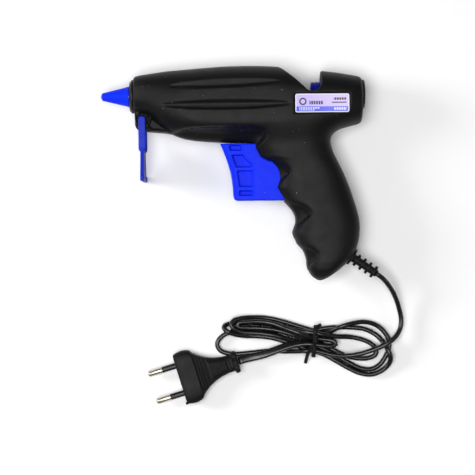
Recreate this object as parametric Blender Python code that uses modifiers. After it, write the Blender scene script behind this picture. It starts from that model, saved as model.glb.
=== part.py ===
"""A corded trigger glue gun lying on its right side, with its fold-out stand and its tied mains lead.

Run with: blender --background --python part.py

The gun is drawn in its own frame: X runs back along the glue stick's axis from the front face of the housing, Y is
up when the gun is held, and Z points out of the gun's left side. Two empties place that frame on the table.
"""

import math

import bmesh
import bpy
from mathutils import Vector

MM = 0.001

# ---- Driving dimensions, in metres ----
GAP = 0.3 * MM
WALL = 2.2 * MM
HALF_WIDTH = 22.0 * MM
ALONG_BARREL = (0, math.radians(90), 0)
GUN_FRONT_X = -21.4 * MM
GUN_REAR_X = 149.4 * MM
GUN_TOP_Y = 18.8 * MM
GUN_BOTTOM_Y = -119.9 * MM

STICK_BORE_R = 6.0 * MM
CARRIAGE_R = 8.0 * MM
TRIGGER_HALF = 7.5 * MM
LEVER_PIVOT = (115.8 * MM, -23.0 * MM)
TRIGGER_PIN = (109.8 * MM, -40.9 * MM)
CARRIAGE_PIN_Y = -5.0 * MM
LINK_PIN_R = 1.5 * MM
STAND_HINGE = (5.5 * MM, -15.4 * MM)
LUG_HALF = 9.5 * MM
RELIEF_POINT = (138.9 * MM, -104.6 * MM, 0)
RELIEF_ANGLE = math.radians(-35)
CLAMP_BACK = -12 * MM
CLAMP_SCREW_ACROSS = 5.2 * MM
CORD_R = 2.0 * MM
CHECK_BALL_PLACE = (3.75 * MM, 0, 0)
LABEL_PLACE = (121.0 * MM, -6.9 * MM, 20.4 * MM)
LABEL_TILT = (0, math.radians(2.6), 0)
PLUG_FACE = (27.2 * MM, -184.5 * MM)
PLUG_ANGLE = math.radians(196.8)
PLUG_HALF_THICK = 6.85 * MM
SCREW_PLACES = [(17.5, -15.5), (58, -24), (80, 13.6), (86, -24.2), (138, -14.5), (137, -72), (118, -109)]

# Each row of the barrel: distance back, top, bottom and half width, in millimetres.
BARREL_ROWS = [
    (0, 12.6, -11.2, 13.5),
    (6, 13.8, -11.8, 16.0),
    (12, 14.6, -15.2, 18.0),
    (26, 16.3, -25.6, 21.0),
    (40, 17.4, -29.2, 22.95),
    (60, 18.5, -30.6, 22.95),
    (76, 18.8, -30.8, 22.95),
    (90, 18.4, -30.8, 22.95),
    (104, 17.2, -30.4, 22.2),
    (128, 14.4, -25.0, 21.6),
    (138, 12.8, -21.2, 20.9),
    (144.5, 11.3, -19.5, 18.4),
    (147.3, 9.2, -16.7, 15.2),
]
# Each row of the handle: height, front, rear and half width, in millimetres.
HANDLE_ROWS = [
    (-14, 86, 123, 17.0),
    (-26, 78.5, 128.3, 17.6),
    (-33, 76.8, 127.2, 17.2),
    (-38, 79.4, 128.4, 16.6),
    (-43, 86.0, 131.0, 16.0),
    (-50, 91.6, 134.6, 15.5),
    (-60, 91.0, 138.8, 15.3),
    (-68, 95.4, 141.4, 15.3),
    (-75, 101.3, 143.8, 15.6),
    (-81, 103.6, 145.0, 15.8),
    (-88.8, 101.6, 145.0, 16.0),
    (-96.6, 104.6, 143.9, 16.2),
    (-104.4, 109.4, 140.3, 16.0),
    (-110, 110.6, 135.4, 15.4),
    (-115, 112.4, 129.6, 13.6),
    (-118.5, 115.6, 124.4, 9.5),
    (-119.9, 118.2, 122.2, 4.0),
]
NOTCH = [
    (94.6, 40),
    (94.6, 18.2),
    (104, 11.0),
    (109.6, 5.8),
    (112.2, 3.3),
    (113.8, 2.5),
    (116.1, 2.5),
    (118.7, 3.6),
    (120.7, 5.6),
    (121.3, 8.2),
    (121.2, 40),
]
MANIFOLD_PIECES = {"cavity", "bulkheads", "trigger_ribs", "housing_left", "housing_right"}
BARREL_SIDES = 20
HANDLE_SIDES = 18
TURN_STEPS = 16
ROUND_STEPS = 22

# Colours as linear RGB, then roughness and metallic value.
BLACK_PLASTIC = ((0.018, 0.018, 0.019), 0.55, 0.0)
BLUE_PLASTIC = ((0.012, 0.035, 0.90), 0.42, 0.0)
NAVY_PLASTIC = ((0.010, 0.030, 0.50), 0.45, 0.0)
BLACK_CORD = ((0.012, 0.012, 0.012), 0.30, 0.0)
ALUMINIUM = ((0.62, 0.62, 0.63), 0.45, 1.0)
BRASS = ((0.70, 0.52, 0.24), 0.35, 1.0)
NICKEL = ((0.62, 0.60, 0.55), 0.30, 1.0)
STEEL = ((0.50, 0.50, 0.52), 0.35, 1.0)
CERAMIC = ((0.72, 0.70, 0.66), 0.70, 0.0)
SILICONE = ((0.55, 0.12, 0.07), 0.60, 0.0)
LABEL = ((0.48, 0.45, 0.80), 0.40, 0.0)
WIRE_WHITE = ((0.75, 0.73, 0.68), 0.55, 0.0)


# ---- Scene helpers ----
def new_scene():
    """An empty scene with the two collections and the two empties that place the gun."""
    for obj in list(bpy.data.objects):
        bpy.data.objects.remove(obj, do_unlink=True)
    parts = bpy.data.collections.new("glue_gun")
    cutters = bpy.data.collections.new("cutters")
    cutters.hide_render = True
    for collection in (parts, cutters):
        bpy.context.scene.collection.children.link(collection)
    middle_x = (GUN_FRONT_X + GUN_REAR_X) / 2
    middle_y = (GUN_TOP_Y + GUN_BOTTOM_Y) / 2
    for name, height in (("gun_axis", HALF_WIDTH), ("table_level", 0.0)):
        empty = bpy.data.objects.new(name, None)
        empty.location = (-middle_x, -middle_y, height)
        parts.objects.link(empty)


def material(name, look):
    """A Principled material from (colour, roughness, metallic)."""
    colour, roughness, metallic = look
    made = bpy.data.materials.new(name)
    made.use_nodes = True
    shader = made.node_tree.nodes["Principled BSDF"]
    shader.inputs["Base Color"].default_value = (*colour, 1)
    shader.inputs["Roughness"].default_value = roughness
    shader.inputs["Metallic"].default_value = metallic
    made.diffuse_color = (*colour, 1)
    return made


def put(obj, look=None, parent="gun_axis", place=(0, 0, 0), turn=(0, 0, 0)):
    """Links an object as a finished piece with its material, or as a cutter if it has no look."""
    home = bpy.data.collections["glue_gun" if look else "cutters"]
    home.objects.link(obj)
    obj.parent = bpy.data.objects[parent]
    obj.location = place
    obj.rotation_euler = turn
    if look:
        obj.data.materials.append(material(obj.name, look))
    else:
        obj.hide_render = True
        obj.display_type = "WIRE"
    return obj


def smooth(mesh, angle=35):
    """Smooth shading, with sharp edges kept above the angle in degrees."""
    mesh.shade_smooth()
    mesh.set_sharp_from_angle(angle=math.radians(angle))


def mesh_object(name, build):
    """A mesh object whose bmesh is filled by build(bm)."""
    mesh = bpy.data.meshes.new(name)
    bm = bmesh.new()
    build(bm)
    bmesh.ops.recalc_face_normals(bm, faces=bm.faces)
    bm.to_mesh(mesh)
    bm.free()
    smooth(mesh)
    return bpy.data.objects.new(name, mesh)


def add_box(bm, low, high):
    """A box from its low corner to its high corner."""
    made = bmesh.ops.create_cube(bm, size=1)["verts"]
    for vert in made:
        vert.co = Vector([(a + b) / 2 + c * (b - a) for a, b, c in zip(low, high, vert.co)])
    return made


def add_rod(bm, place, radius, low, high, sides=16):
    """A round rod along Z at (x, y), from low to high."""
    made = bmesh.ops.create_cone(
        bm, cap_ends=True, segments=sides, radius1=radius, radius2=radius, depth=high - low
    )["verts"]
    bmesh.ops.translate(bm, verts=made, vec=(place[0], place[1], (low + high) / 2))
    return made


def boxes(name, corners):
    """An object of one or more boxes, each given by its two corners in millimetres."""
    def build(bm):
        for low, high in corners:
            add_box(bm, [v * MM for v in low], [v * MM for v in high])
    return mesh_object(name, build)


def rods(name, rows, sides=12):
    """An object of rods along Z, each row (x, y, radius, low, high) in millimetres."""
    def build(bm):
        for x, y, radius, low, high in rows:
            add_rod(bm, (x * MM, y * MM), radius * MM, low * MM, high * MM, sides)
    return mesh_object(name, build)


def flat(name, points, low, high, cyclic_smooth=False):
    """A flat outline in XY, in millimetres, from low to high along Z."""
    curve = bpy.data.curves.new(name, "CURVE")
    curve.dimensions = "2D"
    curve.fill_mode = "BOTH"
    curve.extrude = (high - low) / 2 * MM
    if cyclic_smooth:
        curve.resolution_u = 5
        spline = curve.splines.new("BEZIER")
        spline.bezier_points.add(len(points) - 1)
        for knot, (x, y) in zip(spline.bezier_points, points):
            knot.co = (x * MM, y * MM, 0)
            knot.handle_left_type = knot.handle_right_type = "AUTO"
    else:
        spline = curve.splines.new("POLY")
        spline.points.add(len(points) - 1)
        for knot, (x, y) in zip(spline.points, points):
            knot.co = (x * MM, y * MM, 0, 1)
    spline.use_cyclic_u = True
    return as_mesh(bpy.data.objects.new(name, curve), (low + high) / 2 * MM)


def as_mesh(curve_object, lift=0.0):
    """The curve object's closed mesh as a new object, raised by lift, with its caps welded."""
    bpy.context.scene.collection.objects.link(curve_object)
    graph = bpy.context.evaluated_depsgraph_get()
    mesh = bpy.data.meshes.new_from_object(curve_object.evaluated_get(graph))
    name = curve_object.name
    data = curve_object.data
    bpy.data.objects.remove(curve_object)
    bpy.data.curves.remove(data)
    bm = bmesh.new()
    bm.from_mesh(mesh)
    bmesh.ops.remove_doubles(bm, verts=bm.verts, dist=1e-6)
    bmesh.ops.translate(bm, verts=bm.verts, vec=(0, 0, lift))
    bmesh.ops.recalc_face_normals(bm, faces=bm.faces)
    bm.to_mesh(mesh)
    bm.free()
    mesh.name = name
    smooth(mesh)
    return bpy.data.objects.new(name, mesh)


def turned(name, profile, steps=TURN_STEPS, closed=False):
    """A piece turned about Z. The profile's (radius, height) rows, in millimetres, run down its outer side."""
    mesh = bpy.data.meshes.new(name)
    count = len(profile)
    edges = [(i, i + 1) for i in range(count - 1)] + ([(count - 1, 0)] if closed else [])
    mesh.from_pydata([(r * MM, 0, z * MM) for r, z in profile], edges, [])
    obj = bpy.data.objects.new(name, mesh)
    screw = obj.modifiers.new("turn", "SCREW")
    screw.steps = screw.render_steps = steps
    screw.use_merge_vertices = True
    screw.merge_threshold = 0.00001
    return obj


def wire(name, points, radius, resolution=2, closed=False):
    """A round wire through points in metres, with filled ends."""
    curve = bpy.data.curves.new(name, "CURVE")
    curve.dimensions = "3D"
    curve.bevel_depth = radius
    curve.bevel_resolution = resolution
    curve.use_fill_caps = not closed
    spline = curve.splines.new("POLY")
    spline.points.add(len(points) - 1)
    for knot, point in zip(spline.points, points):
        knot.co = (*point, 1)
    spline.use_cyclic_u = closed
    return bpy.data.objects.new(name, curve)


def coil_points(radius, start, end, turns, per_turn):
    """Points of a helix of even pitch along X."""
    count = round(turns * per_turn)
    points = []
    for i in range(count + 1):
        share = i / count
        angle = 2 * math.pi * turns * share
        x = start + (end - start) * share
        points.append((x, radius * math.cos(angle), radius * math.sin(angle)))
    return points


def smooth_route(knots, spacing):
    """Points every spacing along a smooth curve through the knots, in metres."""
    knots = [Vector(k) for k in knots]
    ends = [2 * knots[0] - knots[1]] + knots + [2 * knots[-1] - knots[-2]]
    fine = []
    for before, a, b, after in zip(ends, ends[1:], ends[2:], ends[3:]):
        for i in range(12):
            t = i / 12
            fine.append(
                a
                + (b - before) * (0.5 * t)
                + (before * 2 - a * 5 + b * 4 - after) * (0.5 * t * t)
                + (a * 3 - before - b * 3 + after) * (0.5 * t * t * t)
            )
    fine.append(knots[-1])
    route, gone = [fine[0]], 0.0
    for a, b in zip(fine, fine[1:]):
        gone += (b - a).length
        if gone >= spacing:
            route.append(b)
            gone = 0.0
    if (route[-1] - fine[-1]).length < spacing / 2:
        route.pop()
    return route + [fine[-1]]


def cut(obj, cutter, operation="DIFFERENCE"):
    """Adds a Boolean. The shells and their inside take the manifold solver, which keeps their many cuts closed."""
    boolean = obj.modifiers.new(operation.lower(), "BOOLEAN")
    boolean.operation = operation
    boolean.solver = "MANIFOLD" if obj.name in MANIFOLD_PIECES else "EXACT"
    boolean.object = cutter
    return obj


def loft(name, rings):
    """A closed solid through rings of equally many points."""
    def build(bm):
        made = [[bm.verts.new(point) for point in ring] for ring in rings]
        for first, second in zip(made, made[1:]):
            for a, b, c, d in zip(first, first[1:] + first[:1], second[1:] + second[:1], second):
                bm.faces.new((a, b, c, d))
        bm.faces.new(made[0])
        bm.faces.new(made[-1])
    return mesh_object(name, build)


def squircle(sides, half_a, half_b, power):
    """Points of a rounded rectangle: a superellipse of the two half sizes."""
    points = []
    for i in range(sides):
        angle = 2 * math.pi * i / sides
        c, s = math.cos(angle), math.sin(angle)
        points.append(
            (
                math.copysign(abs(c) ** (2 / power), c) * half_a,
                math.copysign(abs(s) ** (2 / power), s) * half_b,
            )
        )
    return points


# ---- Housing ----
def barrel_rings(inset):
    """The barrel's sections, drawn in from the outside by inset. Its widest sections are flat at the sides."""
    rings = []
    for x, top, bottom, half in BARREL_ROWS:
        if inset and x in (0, BARREL_ROWS[-1][0]):
            x += math.copysign(inset / MM, 1 if x == 0 else -1)
        middle = (top + bottom) / 2 * MM
        points = squircle(BARREL_SIDES, (top - bottom) / 2 * MM - inset, half * MM - inset, 2.5)
        widest = HALF_WIDTH - inset
        rings.append([(x * MM, middle + a, max(-widest, min(widest, b))) for a, b in points])
    return rings


def handle_rings(inset):
    """The handle's sections from under the barrel down to the butt."""
    rings = []
    for i, (y, front, rear, half) in enumerate(HANDLE_ROWS):
        if inset and i >= len(HANDLE_ROWS) - 2:
            break
        points = squircle(HANDLE_SIDES, (rear - front) / 2 * MM - inset, half * MM - inset, 2.3)
        middle = (front + rear) / 2 * MM
        rings.append([(middle + a, y * MM, b) for a, b in points])
    return rings


def grown(points, distance):
    """The open outline moved outwards (to its right) by distance, corner by corner."""
    moved = []
    for before, here, after in zip([points[0]] + points, points, points[1:] + [points[-1]]):
        run = Vector((after[0] - before[0], after[1] - before[1])).normalized()
        moved.append((here[0] + run.y * distance, here[1] - run.x * distance))
    return moved


def relief_turn():
    """The rotation that lays a piece turned about Z along the strain relief."""
    return (0, math.radians(90), RELIEF_ANGLE)


def along_relief(distance, across=0.0):
    """A point on the strain relief's axis, or beside it, in the gun's plane."""
    c, s = math.cos(RELIEF_ANGLE), math.sin(RELIEF_ANGLE)
    return (
        RELIEF_POINT[0] + distance * c - across * s,
        RELIEF_POINT[1] + distance * s + across * c,
        0,
    )


def clamp_screw_places():
    """Where the two clamp screws stand, on either side of the lead."""
    return [along_relief(CLAMP_BACK, side * CLAMP_SCREW_ACROSS) for side in (-1, 1)]


def cavity():
    """The space inside the housing: its lofts drawn in, less the ribs, bulkheads and screw posts."""
    space = put(loft("cavity", barrel_rings(WALL)))
    cut(space, put(loft("cavity_handle", handle_rings(WALL))), "UNION")
    cut(space, put(flat("notch_wall", grown(NOTCH, WALL / MM), -40, 40)))
    plates = boxes(
        "bulkheads",
        [
            ((13.0, -40, -30), (14.6, 30, 30)),
            ((55.5, -40, -30), (57.1, 30, 30)),
            ((88.0, -15, -30), (89.6, 30, 30)),
        ],
    )
    cut(put(plates), put(turned("chamber_room", [(0, 70), (9.0, 70), (9.0, -10), (0, -10)]), turn=ALONG_BARREL))
    cut(plates, put(turned("sleeve_room", [(0, 99), (8.4, 99), (8.4, 60), (0, 60)]), turn=ALONG_BARREL))
    cut(plates, put(boxes("lead_room", [((50, -20.5, -12.5), (60, -9, 12.5))])))
    cut(space, plates)
    posts = [(x, y, 4.2, -30, 30) for x, y in SCREW_PLACES]
    cut(space, put(rods("screw_posts", posts)))
    pivot = [v / MM for v in LEVER_PIVOT]
    cut(space, put(rods("pivot_posts", [(*pivot, 3.6, 10.7, 30), (*pivot, 3.6, -30, -10.7)])))
    ribs = boxes(
        "trigger_ribs",
        [
            ((104, -37.4, 2.8), (121, -35.8, 30)),
            ((104, -37.4, -30), (121, -35.8, -2.8)),
            ((98, -70.4, -30), (122, -68.7, 30)),
            ((124.2, -63, -30), (126.2, -51, 30)),
        ],
    )
    cut(put(ribs), put(boxes("lead_gaps", [((100, -75, 8.4), (112, -30, 40)), ((100, -75, -40), (112, -30, -8.4))])))
    cut(space, ribs)
    pad = turned("relief_pad", [(0, 12), (6.8, 12), (6.8, -3.4), (0, -3.4)])
    cut(space, put(pad, place=RELIEF_POINT, turn=relief_turn()))
    posts = [(x / MM, y / MM, 2.6, -30, -0.2) for x, y, _ in clamp_screw_places()]
    cut(space, put(rods("clamp_posts", posts)))
    return space


def housing_cutters(space):
    """Everything that is taken out of the solid outside shape, in order."""
    wanted = [
        put(flat("notch", NOTCH, -40, 40)),
        space,
        put(turned("front_hole", [(0, 8), (7.4, 8), (7.4, -5), (0, -5)]), turn=ALONG_BARREL),
        put(turned("rear_hole", [(0, 155), (7.9, 155), (7.9, 142), (0, 142)]), turn=ALONG_BARREL),
        put(turned("carriage_way", [(0, 124.5), (8.4, 124.5), (8.4, 99), (0, 99)]), turn=ALONG_BARREL),
        put(boxes("trigger_mouth", [((50, -68.55, -7.9), (102, -31.0, 7.9))])),
        put(boxes("label_seat", [((-17.7, -6.4, 0), (17.7, 6.4, 9))]), place=LABEL_PLACE, turn=LABEL_TILT),
    ]
    holes = []
    for x, y in SCREW_PLACES:
        holes += [(x, y, 1.75, -20, 8.6), (x, y, 3.0, -30, -9.0)]
    wanted += [put(rods(f"screw_holes_{i}", holes[i::2])) for i in (0, 1)]
    pivot = [v / MM for v in LEVER_PIVOT]
    wanted.append(put(rods("pivot_hole", [(*pivot, 1.85, -15, 15)])))
    hinge = [v / MM for v in STAND_HINGE]
    wanted.append(put(rods("stand_hole", [(*hinge, 1.9, -30, 30)])))
    relief = [(0, 12), (6.1, 12), (6.1, 0), (3.5, 0), (3.5, -5), (0, -5)]
    wanted.append(put(turned("relief_hole", relief), place=RELIEF_POINT, turn=relief_turn()))
    holes = [(x / MM, y / MM, 1.3, -8, 5) for x, y, _ in clamp_screw_places()]
    wanted.append(put(rods("clamp_holes", holes)))
    return wanted


def housing():
    """The two moulded shells, parted at the middle plane."""
    lug = [
        (1.2, -9.4), (1.7, -20.6), (3.2, -21.9), (10.1, -22.7), (19.8, -23.6), (23, -21), (18, -17), (12, -12.4),
        (6, -9.6),
    ]
    handle = put(loft("handle_outside", handle_rings(0)))
    lug_body = put(flat("lug_outside", lug, -LUG_HALF / MM, LUG_HALF / MM))
    cutters = housing_cutters(cavity())
    for side, name in ((1, "housing_left"), (-1, "housing_right")):
        shell = put(loft(name, barrel_rings(0)), BLACK_PLASTIC)
        cut(shell, handle, "UNION")
        for cutter in cutters:
            if cutter.name == "label_seat" and side < 0:
                continue
            if cutter.name == "cavity":
                cut(shell, cutter)
                cut(shell, lug_body, "UNION")
            else:
                cut(shell, cutter)
        low, high = sorted((side * GAP / 2 / MM, side * 40))
        cut(shell, put(boxes(f"{name}_side", [((-30, -140, low), (170, 40, high))])), "INTERSECT")


# ---- Hot end ----
def hot_end():
    """The nozzle, its valve, the melt chamber with its heater, and the inlet sleeve."""
    collar = [
        (5.6, 4.4), (8.6, 4.4), (8.6, 2.9), (7.1, 2.5), (7.1, -0.3), (11.0, -0.3), (10.8, -1.5), (9.3, -2.7),
        (5.6, -2.7),
    ]
    put(turned("front_collar", collar, ROUND_STEPS, closed=True), BLACK_PLASTIC, turn=ALONG_BARREL)
    cover = [(5.25, -3.0), (6.6, -3.0), (6.6, -3.9), (2.5, -20.1), (2.2, -20.6), (1.85, -20.6)]
    put(turned("nozzle_cover", cover, ROUND_STEPS, closed=True), BLUE_PLASTIC, turn=ALONG_BARREL)
    nozzle = [
        (2.1, 4.7), (4.9, 4.7), (4.9, -4.0), (1.4, -20.9), (1.2, -21.4), (0.75, -21.4), (0.75, -17.2), (2.1, -16.0),
    ]
    put(turned("nozzle", nozzle, closed=True), BRASS, turn=ALONG_BARREL)
    put(ball("check_ball", 1.5 * MM), STEEL, place=CHECK_BALL_PLACE)
    spring = wire("check_spring", coil_points(1.4 * MM, -15.4 * MM, 1.8 * MM, 6, 8), 0.3 * MM, 0)
    put(spring, STEEL)
    chamber = turned(
        "melt_chamber",
        [(6.0, 70), (7.2, 70), (7.2, 60), (8.6, 60), (8.6, 5.0), (1.2, 5.0), (1.2, 9.0), (6.0, 16.0)],
        closed=True,
    )
    put(chamber, ALUMINIUM, turn=ALONG_BARREL)
    cut(chamber, put(boxes("heater_pad", [((22, -10.4, -6), (53, -7.2, 6))])), "UNION")
    put(boxes("heater_element", [((25, -13.3, -5), (51, -10.7, 5))]), CERAMIC)
    clamp = boxes("heater_clamp", [((24, -14.8, -7.6), (50, -7.0, 7.6))])
    put(clamp, STEEL)
    cut(clamp, put(boxes("heater_clamp_room", [((20, -13.6, -6.4), (60, 0, 6.4))])))
    sleeve = [
        (7.5, 60.4), (9.2, 60.4), (9.2, 69.5), (8.0, 71.5), (8.0, 94), (STICK_BORE_R / MM, 94), (6.0, 70.4), (7.5, 70.4),
    ]
    put(turned("inlet_sleeve", sleeve[::-1], closed=True), SILICONE, turn=ALONG_BARREL)
    band = [(9.5, 66.6), (10.3, 66.6), (10.3, 63.4), (9.5, 63.4)]
    put(turned("sleeve_clamp", band, closed=True), STEEL, turn=ALONG_BARREL)


def ball(name, radius):
    """A small ball about its own origin."""
    def build(bm):
        bmesh.ops.create_uvsphere(bm, u_segments=12, v_segments=7, radius=radius)
    return mesh_object(name, build)


# ---- Feed mechanism ----
def stadium(reach_low, reach_high, half, angle, steps=6):
    """A slot's outline between two distances from the origin in a direction, in millimetres."""
    along = Vector((math.cos(angle), math.sin(angle)))
    across = Vector((-along.y, along.x))
    points = []
    for centre, start in ((reach_high, -90), (reach_low, 90)):
        for i in range(steps + 1):
            turn = math.radians(start + 180 * i / steps)
            point = along * (centre + half * math.cos(turn)) + across * (half * math.sin(turn))
            points.append((point.x, point.y))
    return points


def feed_lever():
    """The forked lever: a hub, two arms up to the carriage's pins and one plate down to the trigger's pin."""
    half_swing = math.atan2(LEVER_PIVOT[0] - TRIGGER_PIN[0], LEVER_PIVOT[1] - TRIGGER_PIN[1])
    up, down = math.pi / 2 - half_swing, -math.pi / 2 - half_swing
    place = (*LEVER_PIVOT, 0)
    lever = put(rods("feed_lever", [(0, 0, 4.2, -10.2, 10.2)]), BLUE_PLASTIC, place=place)
    for side in (-1, 1):
        low, high = sorted((side * 8.4, side * 10.2))
        arm = flat(f"lever_arm_{side}", stadium(0.5, 18.9, 3.2, up), low, high)
        cut(lever, put(arm, place=place), "UNION")
    cut(lever, put(flat("lever_tail", stadium(0.5, 19.2, 3.4, down), -2, 2), place=place), "UNION")
    cut(lever, put(flat("fork_slots", stadium(18.0, 19.3, 1.85, up), -20, 20), place=place))
    cut(lever, put(flat("tail_slot", stadium(17.8, 19.2, 1.85, down), -20, 20), place=place))
    cut(lever, put(rods("lever_bore", [(0, 0, 1.85, -20, 20)]), place=place))
    pin = put(rods("lever_pin", [(0, 0, 1.5, -14.5, 14.5)]), STEEL)
    pin.location = place


def feed_carriage():
    """The sleeve that grips the glue stick and pushes it forward, with its two side pins."""
    swing = (LEVER_PIVOT[0] - TRIGGER_PIN[0]) / (LEVER_PIVOT[1] - TRIGGER_PIN[1])
    pin_x = LEVER_PIVOT[0] + swing * (CARRIAGE_PIN_Y - LEVER_PIVOT[1])
    front = 114.5
    outer = CARRIAGE_R / MM
    inner = STICK_BORE_R / MM
    profile = [(inner, 140), (outer, 140), (outer, front + 0.8), (outer - 0.7, front), (inner, front)]
    carriage = put(turned("feed_carriage", profile, ROUND_STEPS, closed=True), BLUE_PLASTIC, turn=ALONG_BARREL)
    pins = [(pin_x / MM, CARRIAGE_PIN_Y / MM, LINK_PIN_R / MM, *sorted((side * 5.6, side * 10.4))) for side in (-1, 1)]
    cut(carriage, put(rods("carriage_pins", pins)), "UNION")
    return carriage


def trigger():
    """The sliding trigger: a finger-curved front, moulded pockets in both sides, and a tongue to the lever."""
    outline = [
        (55.3, -31.3), (56.7, -33.8), (58.9, -39.7), (60.4, -44.2), (61.9, -49.4), (62.8, -54.6), (63.4, -59.8),
        (63.6, -65.0), (64.2, -67.2), (66.0, -68.2), (97.5, -68.2), (97.5, -42.8), (84.5, -42.8), (80.4, -40.4),
        (77.2, -36.4), (75.9, -31.3),
    ]
    half = TRIGGER_HALF / MM
    body = put(flat("trigger", outline, -half, half), BLUE_PLASTIC)
    pockets = [
        [(61.2, -32.6), (68.7, -32.6), (69.6, -35.9), (62.0, -35.9)],
        [(62.9, -38.7), (69.9, -38.7), (76.0, -45.0), (76.0, -46.6), (65.6, -46.6)],
        [(66.2, -48.9), (76.2, -48.9), (76.2, -59.3), (67.7, -59.3)],
        [(67.6, -61.8), (76.2, -61.8), (76.2, -65.0), (67.4, -65.0)],
    ]
    for i, pocket in enumerate(pockets):
        for side in (-1, 1):
            low, high = sorted((side * 2.5, side * 12))
            cut(body, put(flat(f"pocket_{i}_{side}", pocket, low, high)))
    pin_x, pin_y = (v / MM for v in TRIGGER_PIN)
    tongue = boxes(
        "trigger_tongue",
        [((95, -47, side * 4.0 - 1.3), (112.4, -37.8, side * 4.0 + 1.3)) for side in (-1, 1)],
    )
    cut(body, put(tongue), "UNION")
    cut(body, put(boxes("tongue_root", [((90, -47, -5.2), (98.5, -40.4, 5.2))])), "UNION")
    cut(body, put(rods("tongue_pin", [(pin_x, pin_y, LINK_PIN_R / MM, -5, 5)])), "UNION")
    seat = turned("spring_post", [(0, 102), (2.2, 102), (2.2, 96), (0, 96)], 12)
    cut(body, put(seat, place=(0, -57 * MM, 0), turn=ALONG_BARREL), "UNION")
    spring = wire("return_spring", coil_points(3.6 * MM, 98.6 * MM, 123.2 * MM, 6, 9), 0.45 * MM, 0)
    put(spring, STEEL, place=(0, -57 * MM, 0))


# ---- Small pieces on the housing ----
def rear_ring():
    """The collar that guides the glue stick in, held in the rear hole by its groove."""
    profile = [
        (STICK_BORE_R / MM, 149.4), (8.2, 149.4), (9.5, 148.6), (9.5, 147.6), (7.6, 147.6), (7.6, 144.8),
        (8.7, 144.4), (8.7, 142.9), (STICK_BORE_R / MM, 142.9),
    ]
    put(turned("rear_ring", profile, ROUND_STEPS, closed=True), BLACK_PLASTIC, turn=ALONG_BARREL)


def rating_label():
    """The label plate with rounded corners, lying in its seat on the left shell."""
    corners = []
    for x, y, start in ((16.1, 4.8, 0), (-16.1, 4.8, 90), (-16.1, -4.8, 180), (16.1, -4.8, 270)):
        for i in range(4):
            turn = math.radians(start + 30 * i)
            corners.append((x + 1.1 * math.cos(turn), y + 1.1 * math.sin(turn)))
    put(flat("rating_label", corners, 0.3, 0.6), LABEL, place=LABEL_PLACE, turn=LABEL_TILT)


def housing_screws():
    """One self-tapping screw for each post, its head in the right shell."""
    profile = [(0, 8.2), (0.9, 8.2), (1.4, 7.0), (1.4, -9.3), (2.7, -9.3), (2.7, -10.6), (2.0, -11.6), (0, -11.6)]
    for i, (x, y) in enumerate(SCREW_PLACES, 1):
        put(turned(f"housing_screw_{i}", profile, 8), STEEL, place=(x * MM, y * MM, 0))


def stand():
    """The fold-out stand: two arms with inward pins, a tapering plate and two foot tabs."""
    plate = [
        (-11.8, -18), (11.8, -18), (17.8, -36.2), (21.6, -36.2), (21.6, -39.6), (-21.6, -39.6), (-21.6, -36.2),
        (-17.8, -36.2),
    ]
    body = flat("stand", plate, -1, 1)
    body = put(body, NAVY_PLASTIC, place=(*STAND_HINGE, 0), turn=(0, math.radians(90), 0))
    for side in (-1, 1):
        low, high = sorted((side * 9.8, side * 11.8))
        arm = flat(f"stand_arm_{side}", stadium(0, 18.4, 2.4, -math.pi / 2), low, high)
        cut(body, put(arm, place=(*STAND_HINGE, 0)), "UNION")
        low, high = sorted((side * 7.4, side * 10.2))
        cut(body, put(rods(f"stand_pin_{side}", [(0, 0, 1.5, low, high)]), place=(*STAND_HINGE, 0)), "UNION")


# ---- Mains lead ----
def strain_relief():
    """A flanged sleeve with four ring fins, moulded onto the lead."""
    profile = [(0, -6.0), (5.0, -6.0), (5.0, -3.8), (3.2, -3.7), (3.2, 0.3), (5.75, 0.3), (5.75, 2.0), (2.7, 2.5)]
    for i in range(4):
        middle = 5.2 + 4.4 * i
        profile += [(2.5, middle - 0.75), (3.35, middle - 0.6), (3.35, middle + 0.6), (2.5, middle + 0.75)]
    profile += [(2.4, 20.8), (0, 20.8)]
    put(turned("strain_relief", profile[::-1], 12), BLACK_CORD, place=RELIEF_POINT, turn=relief_turn())


def cord_clamp():
    """The lead's stub inside the handle and the bridge that holds it."""
    stub = [Vector(along_relief(d * MM)) for d in (-6.3, -12, -18)]
    put(wire("cord_stub", stub, CORD_R, 2), BLACK_CORD)
    centre = along_relief(CLAMP_BACK)
    bridge = put(boxes("cord_clamp", [((-2.2, -8.0, 0.2), (2.2, 8.0, 4.4))]), WIRE_WHITE, place=centre)
    bridge.rotation_euler = (0, 0, RELIEF_ANGLE)
    channel = turned("clamp_channel", [(0, 10), (2.2, 10), (2.2, -10), (0, -10)], 12)
    cut(bridge, put(channel, place=centre, turn=relief_turn()))
    places = clamp_screw_places()
    cut(bridge, put(rods("clamp_bores", [(x / MM, y / MM, 1.3, -5, 9) for x, y, _ in places], 12)))
    profile = [(0, 6.1), (1.7, 6.1), (2.2, 5.4), (2.2, 4.7), (0.95, 4.7), (0.95, -5.6), (0.5, -6.4), (0, -6.4)]
    for i, place in enumerate(places, 1):
        put(turned(f"clamp_screw_{i}", profile, 8), STEEL, place=place)


def heater_leads():
    """Two insulated wires from the heater, down beside the trigger to the lead's stub."""
    end = along_relief(-18.6 * MM)
    for i, side in enumerate((-1, 1), 1):
        knots = [
            (51.4, -12, side * 2.4), (55, -14.2, side * 6), (60, -15.0, side * 10.2), (72, -15.8, side * 11),
            (86, -17.4, side * 11), (97, -20, side * 11), (103.5, -27, side * 11), (104, -40, side * 10.8),
            (104.4, -58, side * 10.2), (109.5, -72, side * 9.4), (114.5, -82, side * 7.5), (119, -90, side * 4),
        ]
        route = [Vector(k) * MM for k in knots] + [Vector((end[0] - 0.6 * MM, end[1] + 0.4 * MM, side * 1.1 * MM))]
        put(wire(f"heater_lead_{i}", smooth_route(route, 5 * MM), 0.75 * MM, 0), WIRE_WHITE)


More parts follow.
